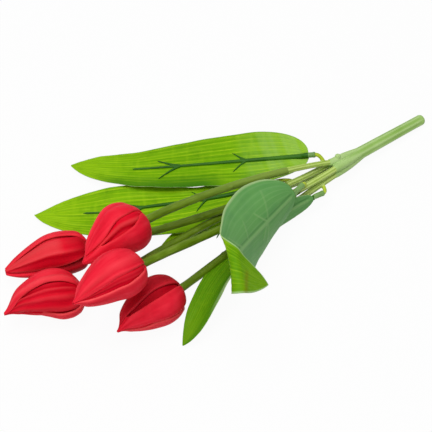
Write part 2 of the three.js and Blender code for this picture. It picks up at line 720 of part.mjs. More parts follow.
function addLeaf(number, leaf, root) {
  const group = new THREE.Group();
  group.matrix.makeBasis(root.along, root.across, root.upper);
  group.quaternion.setFromRotationMatrix(group.matrix);
  group.position.copy(root.mouth);
  bouquet.add(group);
  addPiece(group, `leaf_blade_${number}`, bladeGeometry(leaf), FINISH.blade);
  addPiece(group, `leaf_rib_${number}`, ribGeometry(leaf), FINISH.rib);
}

// Five branches, each with its wire, flower stem, flower head and leaf
FLOWERS.forEach((flower, i) => {
  const number = i + 1;
  const route = flowerRoute(flower);
  const root = leafRoot(LEAVES[i], route);
  addPiece(bouquet, `branch_${number}`, branchGeometry(route, root), FINISH.branch);
  const wire = wireStations(BRANCH_WIRE_FROM_ROOT, PLUG_LENGTH - SEAT, BRANCH_WIRE_DIA / 2);
  addPiece(bouquet, `branch_wire_${number}`, route.body(wire, THIN_SIDES), FINISH.wire);
  addPiece(bouquet, `flower_stem_${number}`, stemGeometry(route), FINISH.stem);
  addHead(number, flower, route);
  addLeaf(number, new Leaf(LEAVES[i]), root);
});

// The origin is under the middle of the bouquet's box, on the table
const box = new THREE.Box3().setFromObject(bouquet, true);
const middle = box.getCenter(vec(0, 0, 0));
bouquet.position.set(-middle.x, -middle.y, -box.min.z);

export default bouquet;
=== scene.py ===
import json
import math

import bpy
import numpy as np
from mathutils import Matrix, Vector


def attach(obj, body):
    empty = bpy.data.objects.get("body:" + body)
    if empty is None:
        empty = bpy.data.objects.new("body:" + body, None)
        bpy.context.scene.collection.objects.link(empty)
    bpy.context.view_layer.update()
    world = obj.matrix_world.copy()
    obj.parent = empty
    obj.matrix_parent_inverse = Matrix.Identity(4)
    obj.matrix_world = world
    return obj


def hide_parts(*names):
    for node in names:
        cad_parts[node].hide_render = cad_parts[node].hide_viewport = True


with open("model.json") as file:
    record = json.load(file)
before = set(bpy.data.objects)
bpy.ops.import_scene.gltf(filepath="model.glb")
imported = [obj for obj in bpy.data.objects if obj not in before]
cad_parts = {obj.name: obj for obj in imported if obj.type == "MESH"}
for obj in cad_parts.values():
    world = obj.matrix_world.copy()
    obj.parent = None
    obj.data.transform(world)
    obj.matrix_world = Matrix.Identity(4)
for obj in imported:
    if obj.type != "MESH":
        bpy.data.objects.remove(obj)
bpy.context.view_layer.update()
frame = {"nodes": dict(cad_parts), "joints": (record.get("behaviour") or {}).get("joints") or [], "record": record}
JOINTS = {j["name"]: j for j in frame["joints"]}

# Lengths in millimetres, shares, counts and degrees. The main sizes are those of the solids, but branches and
# stems are 0.2 to 0.6 mm slimmer
HANDLE_LENGTH = 91.5
HANDLE_NECK_DIA = 9.6
HANDLE_END_DIA = 8.4
HANDLE_END_ROUND = 2.6
HANDLE_END_FLAT = 2.3
HANDLE_RIDGES = 7
RIDGE_DEPTH = 0.3
CROWN_LENGTH = 14
STUB_ANGLE = 70
BRANCH_LENGTH = 38
BRANCH_DIAS = ((4.2, 4.5), (5.0, 4.8), (5.0, 4.8), (5.0, 4.8), (5.0, 4.8))
BRANCH_GROOVES = 6
GROOVE_DEPTH = 0.32
GROOVES_WITHIN = 2.8
PEG_BEYOND = 2.95
BALL_RADIUS = 2.3
PEG_DIA = 3
PIN_DIA = 2
PIN_LENGTH = 7
STEM_ROOT_DIA = 5.0
STEM_TOP_DIA = 6.0
HEAD_LENGTH = 54.5
HEAD_DIA = 32.4
HEAD_BASE_DIA = 12.6
HEAD_TIP_DIA = 4.4
HEAD_WIDEST = 0.35
HEAD_FOOT_HEIGHT = 7
HEAD_FOOT_RADIUS = 3.2
PETAL_THICKNESS = 2.4
FACE_THICKNESS = 1.6
INNER_THICKNESS = 1.4
INNER_LENGTH = 50
INNER_SINK = 2.7
WINDOW_LENGTH = 52
LEAF_LENGTH = 184
LEAF_WIDTH = 50
LEAF_WIDEST = 0.27
LEAF_NECK_HALF = 2.0
LEAF_TIP_HALF = 0.35
BLADE_THICKNESS = 0.42
BLADE_GAP = 0.12
WELT_HEIGHT = 0.4
VEIN_HEIGHT = 0.07
VEIN_WAVES = 13
SOCKET_DIA = 4.2
SOCKET_LENGTH = 11
RIB_HEIGHT = 1.6
FOLD_RADIUS = 5
TABLE_GAP = 0.05

# Where each pair of barbs leaves the rib, how far it runs along, and how far its two barbs reach aside
BARBS = ((51, 11, 8, 10), (101, 17, 7, 12))

# How far a stem keeps the direction in which it leaves the crown and meets its head, as shares of its span
LEAVE_PULL = 0.4
ARRIVE_PULL = 0.12

# How long each stem stays pale at its foot, and how long each rib's pale sleeve is
PALE_FOOT = (110, 40, 40, 60, 30)
SLEEVE_LENGTHS = (5, 5, 5, 16, 9.5)

# The heading and rise at which each stem leaves the crown, and how far its head is turned, in degrees
FLOWERS = [
    {"leave": (13, 16), "turn": -13},
    {"leave": (-3.4, 6.5), "turn": -30},
    {"leave": (15, 1.6), "turn": -38},
    {"leave": (-5.3, 3.8), "turn": -46},
    {"leave": (-6, 4.2), "turn": -7},
]

# How each leaf lies. size and breadth: shares of a full leaf. peg: where its peg stands on the branch. run:
# the peg's straight end. roll: how far the blade is turned on its socket. cup: the depth of its section at
# base and tip. start: where the cloth starts. trim: how its two margins are widened or narrowed along it.
# portions: how it bends, sweeps and twists up to a share of its length. turn: more twist. fold: where, how
# skew and how far it folds, and how much sooner the outline ends past that. rib: its length on a full leaf
# and its drift aside.
PLAIN_LEAF = {
    "size": 1, "breadth": 1, "run": 4, "start": 5, "fold": None, "rib": (137, 0), "turn": [(0, 0), (1, 0)],
}
LEAVES = [
    PLAIN_LEAF | {
        "peg": 6.8, "roll": -7.5, "cup": (1.2, 2.3),
        "trim": ([(0, 1), (0.8, 1), (0.9, 1.15), (1, 1)],
                 [(0, 0.74), (0.08, 0.78), (0.22, 0.87), (0.4, 0.91), (0.5, 0.98), (0.62, 1.12), (0.72, 1.05),
                  (0.8, 1), (1, 1)]),
        "portions": [(0.65, 11.6, 8.9, 14.3), (1, -2.4, -19.5, -5.4)],
    },
    PLAIN_LEAF | {
        "size": 0.97, "breadth": 0.97, "peg": 33, "run": 11, "roll": -5, "cup": (0, 3), "rib": (147, -4.5),
        "trim": ([(0, 0.5), (0.3, 0.52), (0.5, 1.03), (0.6, 1.34), (0.7, 1.48), (0.87, 1.55), (1, 1.2)],
                 [(0, 1), (1, 1)]),
        "portions": [(0.65, 9, -6, 3), (1, -6, -24, 6)],
    },
    PLAIN_LEAF | {
        "size": 0.65, "breadth": 0.46, "peg": 21, "roll": 0, "cup": (0.5, 1),
        "trim": ([(0, 1), (0.5, 1.1), (0.75, 1.7), (0.9, 1.8), (1, 1.3)],
                 [(0, 0.6), (0.4, 0.45), (0.7, 0.3), (0.9, 0.5), (1, 1)]),
        "portions": [(1, 0, -8, 0)],
    },
    PLAIN_LEAF | {
        "peg": 32.3, "roll": 113.5, "cup": (16, 0), "start": 12.5, "rib": (126, 0),
        "fold": (130.7, 23, 166, 0.23),
        "trim": ([(0, 1), (0.6, 1), (0.69, 1.03), (0.76, 1.17), (0.9, 1.17), (1, 1)],
                 [(0, 1), (0.25, 1.04), (0.45, 1.1), (0.58, 1.04), (0.68, 0.9), (0.74, 0.74), (0.8, 0.66),
                  (0.9, 0.62), (1, 0.7)]),
        "portions": [(0.45, -24.7, 16.7, 15.3), (1, 0, 0, 0)],
    },
    PLAIN_LEAF | {
        "size": 0.9, "breadth": 0.6, "peg": 15.5, "roll": 110, "cup": (4.4, 3.5), "start": 11, "rib": (84, 0),
        "trim": ([(0, 0.8), (0.3, 1), (0.7, 1.05), (0.85, 1.3), (1, 1.1)],
                 [(0, 0.55), (0.2, 0.68), (0.4, 0.9), (0.55, 1), (1, 1)]),
        "portions": [(0.4, -11.9, -17.6, -17), (0.72, -13.7, 13.9, -57.3), (1, -38.3, -26.6, -38.7)],
        "turn": [(0, 0), (0.34, 0), (0.5, -32), (0.62, -20), (0.8, 0), (1, 0)],
    },
]


# Vectors and small curves
def unit(v):
    return np.asarray(v, float) / np.linalg.norm(v)


def turned(axis, degrees):
    """A turn about an axis, as a matrix."""
    x, y, z = unit(axis)
    k = np.array([[0, -z, y], [z, 0, -x], [-y, x, 0]])
    a = math.radians(degrees)
    return np.eye(3) + math.sin(a) * k + (1 - math.cos(a)) * k @ k


def smooth(t, low, high):
    """A soft step from 0 at low to 1 at high."""
    t = np.clip((np.asarray(t, float) - low) / (high - low), 0, 1)
    return t * t * (3 - 2 * t)


def mix(a, b, t):
    return a + (b - a) * t


def hill(x, middle, width):
    return np.exp(-(((np.asarray(x, float) - middle) / width) ** 2))


def crest(angle):
    """A wave between 0 and 1, highest at 0."""
    return 0.5 + 0.5 * np.cos(angle)


def round_off(t, start, least):
    """1 up to a start, then a quarter round down to the root of the least at 1."""
    return np.sqrt(np.clip(1 - (np.maximum(t - start, 0) / (1 - start)) ** 2, least, 1))


def ripple(x, seed):
    """A gentle irregular wave between about -1 and 1."""
    x = np.asarray(x, float)
    waves = ((1, 1, 1.7), (0.6, 2.3, 3.1), (0.4, 4.1, 0.6))
    return sum(height * np.sin(rate * x + shift * seed) for height, rate, shift in waves) / 2


def curve(stops):
    """A soft line through (share, value) stops."""
    x, y = np.array(stops, float).T
    fine = np.linspace(0, 1, 201)
    line = np.interp(fine, x, y)
    for _ in range(3):
        line = np.convolve(np.pad(line, 6, mode="edge"), np.ones(13) / 13, mode="valid")
    return lambda t: np.interp(t, fine, line)


def between(x, stops, points):
    """The points at x on a line that passes its points at the stops."""
    return np.stack([np.interp(x, stops, points[:, i]) for i in range(3)], 1)


def squared_gaps(points, others):
    return ((points[:, None, :] - others[None, :, :]) ** 2).sum(2)


def aim(heading, rise):
    """A direction away from the handle, by its heading and rise in degrees."""
    h, r = math.radians(heading), math.radians(rise)
    return np.array([-math.cos(r) * math.cos(h), math.cos(r) * math.sin(h), math.sin(r)])


def place(joint):
    """A joint's point in millimetres and its axis."""
    return np.array(JOINTS[joint]["pos_m"]) * 1000, unit(JOINTS[joint]["axis"])


# Meshes
def add_object(name, data):
    obj = bpy.data.objects.new(name, data)
    bpy.context.scene.collection.objects.link(obj)
    return obj


def paint(mesh, field, values):
    mesh.attributes.new(field, "FLOAT", "POINT").data.foreach_set("value", np.asarray(values, np.float32))


def places_of(parts, key):
    """Where all vertices or faces of a mesh are, in millimetres."""
    found = np.zeros(3 * len(parts))
    parts.foreach_get(key, found)
    return found.reshape(-1, 3) * 1000


def link_mesh(name, points, faces, uv=None, fields=None):
    """A smooth mesh from points in millimetres, with its faces turned outwards."""
    points = np.asarray(points, float)
    mesh = bpy.data.meshes.new(name)
    mesh.from_pydata((points / 1000).tolist(), [], [tuple(int(i) for i in f) for f in faces])
    mesh.polygons.foreach_set("use_smooth", [True] * len(mesh.polygons))
    mesh.calc_loop_triangles()
    corners = np.zeros(3 * len(mesh.loop_triangles), int)
    mesh.loop_triangles.foreach_get("vertices", corners)
    a, b, c = points[corners.reshape(-1, 3)].transpose(1, 0, 2)
    if np.einsum("ij,ij->", a, np.cross(b, c)) < 0:
        mesh.flip_normals()
    if uv is not None:
        layer = mesh.uv_layers.new(name="UVMap")
        corners = np.zeros(len(mesh.loops), int)
        mesh.loops.foreach_get("vertex_index", corners)
        layer.data.foreach_set("uv", np.asarray(uv, float)[corners].ravel())
    for field, values in (fields or {}).items():
        paint(mesh, field, values)
    mesh.update()
    return add_object(name, mesh)


def settle(obj, node, body, slot, *materials):
    """Puts a finished piece in a node's place."""
    for material in materials:
        obj.data.materials.append(material)
    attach(obj, body)
    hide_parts(node)


def ring_faces(rows, size):
    faces = []
    for i in range(rows - 1):
        for j in range(size):
            a, b = i * size + j, i * size + (j + 1) % size
            faces.append((a, b, b + size, a + size))
    last = (rows - 1) * size
    faces.append(tuple(range(size - 1, -1, -1)))
    faces.append(tuple(range(last, last + size)))
    return faces


class Path:
    """A line through points, by distance, running straight on past both ends."""

    STEP = 0.3

    def __init__(self, points):
        self.points = np.asarray(points, float)
        steps = np.linalg.norm(np.diff(self.points, axis=0), axis=1)
        self.distance = np.concatenate([[0], np.cumsum(steps)])
        self.length = self.distance[-1]

    def at(self, s):
        s = np.atleast_1d(np.asarray(s, float))
        inside = np.clip(s, 0, self.length)
        return between(inside, self.distance, self.points) + self.along(s) * (s - inside)[:, None]

    def along(self, s):
        s = np.clip(np.atleast_1d(np.asarray(s, float)), self.STEP, self.length - self.STEP)
        low = between(s - self.STEP, self.distance, self.points)
        high = between(s + self.STEP, self.distance, self.points)
        return (high - low) / np.linalg.norm(high - low, axis=1)[:, None]

    def sides(self, s):
        """The level direction and the one above it, square to the line."""
        along = self.along(s)
        side = np.cross(along, [0, 0, 1])
        side /= np.linalg.norm(side, axis=1)[:, None]
        return side, np.cross(side, along)

    def tube(self, stations, sides, swell=None):
        """A closed round body through stations of distance and radius, with its map. swell(distance, angle)
        adds to the radius."""
        s, radius = np.array(stations, float).T
        side, up = self.sides(s)
        angle = np.linspace(0, 2 * np.pi, sides, endpoint=False)
        r = radius[:, None] + np.zeros(sides)
        if swell is not None:
            r = r + swell(s[:, None], angle[None, :])
        points = (
            self.at(s)[:, None, :]
            + (r * np.cos(angle))[:, :, None] * side[:, None, :]
            + (r * np.sin(angle))[:, :, None] * up[:, None, :]
        )
        uv = np.stack(np.broadcast_arrays(angle[None, :] / (2 * np.pi), s[:, None] / 100), 2)
        return points.reshape(-1, 3), ring_faces(len(s), sides), uv.reshape(-1, 2)


CURVE_STEPS = 240
LATHE_SIDES = 28


def bezier(p):
    t = np.linspace(0, 1, CURVE_STEPS)[:, None]
    if len(p) == 3:
        return (1 - t) ** 2 * p[0] + 2 * (1 - t) * t * p[1] + t * t * p[2]
    return (1 - t) ** 3 * p[0] + 3 * (1 - t) ** 2 * t * p[1] + 3 * (1 - t) * t * t * p[2] + t**3 * p[3]


def gather(shells):
    points, faces, start = [], [], 0
    for p, f, *_ in shells:
        points.append(np.asarray(p))
        faces += [tuple(i + start for i in face) for face in f]
        start += len(p)
    return np.concatenate(points), faces


def fused(name, shells, voxel, rounds):
    """One skin round several closed shells, with small fillets where they meet."""
    parts = [link_mesh(f"{name}_shell{i}", *shell[:2]) for i, shell in enumerate(shells)]
    outward = [([v.co[:] for v in o.data.vertices], [p.vertices[:] for p in o.data.polygons]) for o in parts]
    points, faces = gather(outward)
    for o in parts:
        bpy.data.objects.remove(o)
    mesh = bpy.data.meshes.new(name + "_rough")
    mesh.from_pydata(points.tolist(), [], faces)
    rough = add_object(name + "_rough", mesh)
    remesh = rough.modifiers.new("skin", "REMESH")
    remesh.mode = "VOXEL"
    remesh.voxel_size = voxel / 1000
    remesh.use_smooth_shade = True
    relax = rough.modifiers.new("relax", "SMOOTH")
    relax.factor = 0.5
    relax.iterations = rounds
    skin = bpy.data.meshes.new_from_object(rough.evaluated_get(bpy.context.evaluated_depsgraph_get()))
    skin.name = name
    bpy.data.objects.remove(rough)
    skin.polygons.foreach_set("use_smooth", [True] * len(skin.polygons))
    return add_object(name, skin)


def lathe(profile, origin, axis):
    """A closed body turned about an axis, from points of radius and height that start and end on the axis."""
    axis = unit(axis)
    side = unit(np.cross(axis, [0, 0, 1]) if abs(axis[2]) < 0.9 else np.cross(axis, [1, 0, 0]))
    up = np.cross(axis, side)
    angle = np.linspace(0, 2 * np.pi, LATHE_SIDES, endpoint=False)
    rings = [
        origin + axis * h + max(r, 0.01) * (np.cos(angle)[:, None] * side + np.sin(angle)[:, None] * up)
        for r, h in profile
    ]
    return np.concatenate(rings), ring_faces(len(rings), LATHE_SIDES)


# Materials
def srgb(*c):
    return tuple(((x / 255 + 0.055) / 1.055) ** 2.4 if x > 10 else x / 255 / 12.92 for x in c) + (1.0,)


class Nodes:
    """A node tree, with short ways to add to it."""

    def __init__(self, tree):
        self.nodes, self.links = tree.nodes, tree.links

    def feed(self, socket, value):
        if isinstance(value, bpy.types.NodeSocket):
            self.links.new(value, socket)
        else:
            socket.default_value = value

    def add(self, kind, settings=None, **inputs):
        node = self.nodes.new(kind)
        for key, value in (settings or {}).items():
            setattr(node, key, value)
        for key, value in inputs.items():
            self.feed(node.inputs[key.replace("_", " ")], value)
        return node

    def math(self, how, a, b):
        node = self.add("ShaderNodeMath", {"operation": how})
        self.feed(node.inputs[0], a)
        self.feed(node.inputs[1], b)
        return node.outputs[0]

    def seen(self):
        """1 for what the camera sees, straight or in a gloss or a glass."""
        rays = self.add("ShaderNodeLightPath").outputs
        bare = self.math("MAXIMUM", rays["Is Camera Ray"], rays["Is Glossy Ray"])
        return self.math("MAXIMUM", bare, rays["Is Transmission Ray"])

    def end_in(self, kind, share, low, high):
        """Ends the tree in a mix of two shaders."""
        both = self.add("ShaderNodeMixShader")
        for index, value in enumerate((share, low.outputs[0], high.outputs[0])):
            self.links.new(value, both.inputs[index])
        self.links.new(both.outputs[0], self.add(kind).inputs[0])


class Finish(Nodes):
    """A material with its nodes within reach."""

    def __init__(self, name, roughness, specular):
        self.material = bpy.data.materials.new(name)
        self.material.use_nodes = True
        super().__init__(self.material.node_tree)
        self.shader = self.nodes["Principled BSDF"]
        self.shader.inputs["Roughness"].default_value = roughness
        self.shader.inputs["Specular IOR Level"].default_value = specular

    def coords(self, kind, scale=(1, 1, 1)):
        source = self.add("ShaderNodeTexCoord").outputs[kind]
        return self.add("ShaderNodeMapping", Vector=source, Scale=scale).outputs["Vector"]

    def noise(self, vector, scale, detail, rough=0.55, bend=0.0):
        node = self.add("ShaderNodeTexNoise", Vector=vector, Scale=scale, Detail=detail, Roughness=rough,
                        Distortion=bend)
        return node.outputs["Fac"]

    def map_noise(self, across, along, *settings):
        """Noise stretched on the piece's map."""
        return self.noise(self.coords("UV", (across, along, 1)), *settings)

    def own_noise(self, *settings):
        """Noise in the piece's own space."""
        return self.noise(self.coords("Object"), *settings)

    def veins(self):
        """Lengthwise veins of a leaf."""
        node = self.add("ShaderNodeTexWave", Vector=self.coords("UV"), Scale=4.2, Distortion=1.6, Detail=1.0,
                        Detail_Scale=1.6)
        return node.outputs["Fac"]

    def weave(self):
        """The cross threads of a leaf's cloth."""
        node = self.add("ShaderNodeTexWave", {"bands_direction": "Y"}, Vector=self.coords("UV"), Scale=90.0)
        return node.outputs["Fac"]

    def ramp(self, value, *stops):
        node = self.add("ShaderNodeValToRGB", Fac=value)
        ends = node.color_ramp.elements
        while len(ends) < len(stops):
            ends.new(0.5)
        for element, (at, colour) in zip(ends, stops):
            element.position = at
            element.color = srgb(*colour)
        return node.outputs["Color"]

    def grey(self, value, low, high):
        return self.ramp(value, (low, (0, 0, 0)), (high, (255, 255, 255)))

    def layers(self, base, *tints):
        """Lays colours over the base, each by its share where its mask is."""
        for mask, share, colour in tints:
            node = self.add("ShaderNodeMix", {"data_type": "RGBA"})
            for index, value in ((0, self.math("MULTIPLY", mask, share)), (6, base), (7, srgb(*colour))):
                self.feed(node.inputs[index], value)
            base = node.outputs[2]
        return base

    def field(self, name):
        return self.add("ShaderNodeAttribute", {"attribute_name": name}).outputs["Fac"]

    def bump(self, height, strength, distance):
        node = self.add("ShaderNodeBump", Height=height, Strength=strength, Distance=distance / 1000)
        self.links.new(node.outputs["Normal"], self.shader.inputs["Normal"])

    def colour(self, socket):
        self.links.new(socket, self.shader.inputs["Base Color"])
        return self.material

    def roughness(self, value, low, high):
        node = self.add("ShaderNodeMapRange", Value=value, To_Min=low, To_Max=high)
        self.links.new(node.outputs["Result"], self.shader.inputs["Roughness"])


def foam(name, deep, middle, light, specular):
    """Red foam sheet: slow lengthwise clouding and fine cells."""
    f = Finish(name, 0.6, specular)
    along = f.map_noise(4, 1.1, 1.6, 2.0, 0.45, 0.3)
    worn = f.own_noise(55, 3.0)
    base = f.ramp(along, (0.25, deep), (0.5, middle), (0.8, light))
    # The pale layer is painted highlight on fold ridges and lit faces, plus a pale rim that is partly dust and
    # partly painted highlight. The shade layer is painted shade in grooves, on the inner sides of the petals and
    # on petals that other heads shade.
    base = f.layers(
        base, (f.grey(worn, 0.5, 0.8), 0.6, light), (f.field("pale"), 1, (246, 128, 124)),
        (f.field("shade"), 1, (150, 0, 16)),
    )
    f.bump(f.own_noise(1500, 2.0, 0.6), 0.2, 0.1)
    f.roughness(worn, 0.52, 0.7)
    return f.colour(base)


def leaf_top(name):
    """Printed woven polyester: lengthwise veins, paler cross bands of painted sheen, fine weave."""
    f = Finish(name, 0.5, 0.05)
    streak = f.map_noise(26, 1.3, 1.0, 4.0, 0.55, 0.1)
    cloud = f.map_noise(2.5, 9, 1.3, 3.0)
    bands = f.map_noise(1.2, 30, 1.0, 2.0)
    patch = f.map_noise(5, 4, 1.6, 2.0)
    uneven = f.map_noise(9, 6, 1.5, 2.0)
    vein = f.veins()
    shown = f.math("MULTIPLY", f.grey(vein, 0.82, 1.0), f.grey(uneven, 0.3, 0.68))
    base = f.ramp(streak, (0.28, (92, 146, 0)), (0.5, (118, 174, 2)), (0.76, (150, 198, 14)))
    # The paler cross bands are a painted sheen.
    base = f.layers(
        base, (shown, 0.8, (182, 216, 36)), (f.grey(patch, 0.5, 0.75), 0.4, (158, 206, 34)),
        (f.field("pale"), 0.4, (164, 208, 24)), (f.grey(cloud, 0.52, 0.75), 0.45, (82, 138, 0)),
        # The darker green layer is painted shade.
        (f.grey(bands, 0.55, 0.8), 0.35, (166, 210, 24)), (f.field("painted_leaf_shade"), 1, (50, 112, 10)),
        # The whitish green layer is pale edges and a painted sheen.
        (f.field("pale_edge_and_sheen"), 0.7, (176, 208, 146)), (f.field("brown"), 0.5, (122, 112, 8)),
    )
    f.bump(f.math("ADD", f.math("MULTIPLY", f.weave(), 0.4), vein), 0.25, 0.2)
    f.roughness(cloud, 0.42, 0.6)
    return f.colour(base)


def leaf_under(name):
    """The bluish unprinted back, with the rib and barbs pressed through, the welt painted paler as a highlight and
    a painted shadow beside the rib.
    """
    f = Finish(name, 0.55, 0.1)
    streak = f.map_noise(22, 1.5, 1.0, 3.0, 0.5)
    cloud = f.map_noise(3, 5, 1.3, 3.0)
    base = f.ramp(streak, (0.3, (95, 153, 79)), (0.55, (101, 159, 85)), (0.8, (108, 165, 92)))
    base = f.layers(
        base, (f.grey(cloud, 0.45, 0.75), 0.45, (74, 134, 76)),
        (f.grey(f.veins(), 0.75, 1.0), 0.12, (150, 192, 128)), (f.field("hem"), 0.6, (196, 218, 158)),
        # A painted shadow beside the pressed rib, and the welt painted paler as a highlight.
        (f.field("painted_rib_shadow"), 0.5, (50, 100, 46)), (f.grey(f.field("welt"), 0.25, 0.8), 0.55, (138, 180, 112)),
    )
    f.bump(f.math("ADD", f.math("MULTIPLY", f.weave(), 0.5), streak), 0.2, 0.15)
    return f.colour(base)


def leaf_edge(name):
    f = Finish(name, 0.7, 0.1)
    return f.colour(f.ramp(f.own_noise(220, 2.0), (0.3, (152, 188, 104)), (0.7, (194, 218, 150))))


def moulding(name, dark, middle, light, roughness):
    """Moulded polyethylene: faint flow clouds, ridge lines painted paler as a highlight and grooves painted darker
    as shade, a fine skin and a soft gloss.
    """
    f = Finish(name, roughness, 0.22)
    flow = f.own_noise(34, 3.0, 0.5, 0.3)
    base = f.ramp(flow, (0.22, dark), (0.5, middle), (0.8, light))
    # Ridge lines painted paler as a highlight, grooves painted darker as shade.
    base = f.layers(base, (f.field("line"), 0.8, light), (f.field("painted_groove_shade"), 0.8, dark))
    f.bump(f.own_noise(900, 2.0), 0.1, 0.08)
    f.roughness(flow, roughness - 0.07, roughness + 0.1)
    return f.colour(base)


def drawn_tube(name, dark, middle, light):
    """Flower stem: lengthwise drawn streaks over slow changes of shade, paler at its foot."""
    f = Finish(name, 0.48, 0.2)
    streak = f.map_noise(9, 5, 1.2, 4.0, 0.6)
    slow = f.map_noise(1.5, 5, 1.0, 2.0)
    both = f.math("ADD", f.math("MULTIPLY", streak, 0.55), f.math("MULTIPLY", slow, 0.45))
    base = f.ramp(both, (0.33, dark), (0.5, middle), (0.68, light))
    base = f.layers(base, (f.field("pale"), 0.6, (142, 168, 74)))
    f.bump(streak, 0.15, 0.12)
    f.roughness(slow, 0.42, 0.58)
    return f.colour(base)


def wire_finish(name):
    f = Finish(name, 0.35, 0.5)
    f.shader.inputs["Metallic"].default_value = 1.0
    drawn = f.noise(f.coords("Object", (1, 9, 9)), 120, 2.0)
    return f.colour(f.ramp(drawn, (0.3, (120, 122, 126)), (0.7, (170, 172, 175))))


PETAL = foam("petal_foam", (206, 8, 34), (230, 22, 48), (244, 50, 68), 0.13)
# The inner petals take a darker, duller copy of the petal foam: painted shade inside the head.
INNER = foam("inner_petal_foam", (196, 0, 26), (218, 4, 36), (234, 30, 54), 0.06)
BLADE_TOP = leaf_top("leaf_upper_side")
BLADE_UNDER = leaf_under("leaf_under_side")
BLADE_EDGE = leaf_edge("leaf_cut_edge")
RIB = moulding("leaf_rib_moulding", (28, 74, 0), (40, 94, 2), (62, 116, 12), 0.5)
SLEEVE = moulding("rib_sleeve_moulding", (92, 132, 66), (116, 156, 84), (146, 182, 112), 0.42)
STEM = drawn_tube("flower_stem_tube", (70, 94, 0), (92, 120, 6), (122, 148, 44))
HANDLE = moulding("handle_moulding", (128, 170, 70), (157, 194, 106), (192, 218, 152), 0.45)
BRANCH = moulding("branch_moulding", (124, 152, 48), (180, 206, 98), (202, 220, 136), 0.45)
PEG = moulding("peg_moulding", (154, 178, 24), (178, 200, 48), (204, 218, 84), 0.45)
CORE = moulding("bud_core_moulding", (104, 132, 60), (124, 152, 76), (146, 172, 98), 0.55)
WIRE = wire_finish("core_wire_steel")


# Handle: a ridged moulding whose crown is the five branch roots run together
ROOTS = [place(f"stem_{k}_bend")[0] for k in range(1, 6)]
MOUNT = frame["record"]["mounts"][0]
HANDLE_AXIS = unit(MOUNT["axis"])
CROWN = np.array(MOUNT["pos_m"]) * 1000 - HANDLE_AXIS * HANDLE_LENGTH


def build_handle():
    path = Path([CROWN + HANDLE_AXIS * s for s in np.linspace(0, HANDLE_LENGTH, 60)])
    shoulder = HANDLE_LENGTH - HANDLE_END_ROUND
    s = np.concatenate([np.linspace(5, 24, 40), np.linspace(24.6, shoulder, 110)])
    body = mix(HANDLE_NECK_DIA, HANDLE_END_DIA, smooth(s, CROWN_LENGTH, HANDLE_LENGTH)) / 2
    stations = [(2.5, 2.0), (3.2, 3.4), (4.2, 4.3)] + list(zip(s, body))
    for a in np.radians(np.linspace(8, 88, 9)):
        stations.append((shoulder + HANDLE_END_ROUND * math.sin(a),
                         HANDLE_END_FLAT + (HANDLE_END_DIA / 2 - HANDLE_END_FLAT) * math.cos(a)))

    def ridges(distance, angle):
        fade = smooth(distance, 10, 24) * (1 - smooth(distance, HANDLE_LENGTH - 7, HANDLE_LENGTH - 2))
        return -RIDGE_DEPTH * (1 - crest(HANDLE_RIDGES * angle)) ** 1.5 * fade

    shells = [path.tube(stations, 96, ridges)]
    for root, flower in zip(ROOTS, FLOWERS):
        inner = CROWN + HANDLE_AXIS * 30 + 0.4 * (root - CROWN)
        outer = root + aim(*flower["leave"]) * 2.6
        run = Path(np.concatenate([bezier([inner, root + HANDLE_AXIS * 11, root]), [outer]]))
        x = np.linspace(0.3, run.length, 40)
        wide = mix(2.3, 2.85, smooth(x, 0, run.length * 0.6)) - 0.35 * smooth(x, run.length - 2.2, run.length)
        shells.append(run.tube(list(zip(x, wide)), 28))
    across = unit(np.cross(HANDLE_AXIS, [0, 0, 1]))
    up = np.cross(across, HANDLE_AXIS)
    tilt = math.radians(STUB_ANGLE)
    stub = [(0, 2), (2.1, 2), (2.05, 8.3), (1.85, 8.9), (1.4, 9.2), (0, 9.2)]
    shells.append(lathe(stub, CROWN + HANDLE_AXIS * 5.4, -across * math.cos(tilt) + up * math.sin(tilt)))
    obj = fused("handle_skin", shells, voxel=0.33, rounds=4)
    points = places_of(obj.data.vertices, "co") - CROWN
    along = points @ HANDLE_AXIS
    ridge = crest(HANDLE_RIDGES * np.arctan2(points @ up, points @ across))
    shown = smooth(along, 8, 22) * (1 - smooth(along, HANDLE_LENGTH - 6, HANDLE_LENGTH - 1))
    # Painted highlight on the ridge crests and painted shade in the grooves between them.
    paint(obj.data, "line", 0.7 * shown * ridge**3)
    paint(obj.data, "painted_groove_shade", 0.5 * shown * (1 - ridge) ** 4)
    settle(obj, "handle", "handle", "handle", HANDLE)


# Branches and flower stems follow one curve from the crown to the head
def flower_path(k):
    root = ROOTS[k]
    top, axis = place(f"head_{k + 1}_twist")
    span = np.linalg.norm(top - root)
    leave = aim(*FLOWERS[k]["leave"])
    return Path(bezier([root, root + leave * LEAVE_PULL * span, top - axis * ARRIVE_PULL * span, top]))


PATHS = [flower_path(k) for k in range(5)]


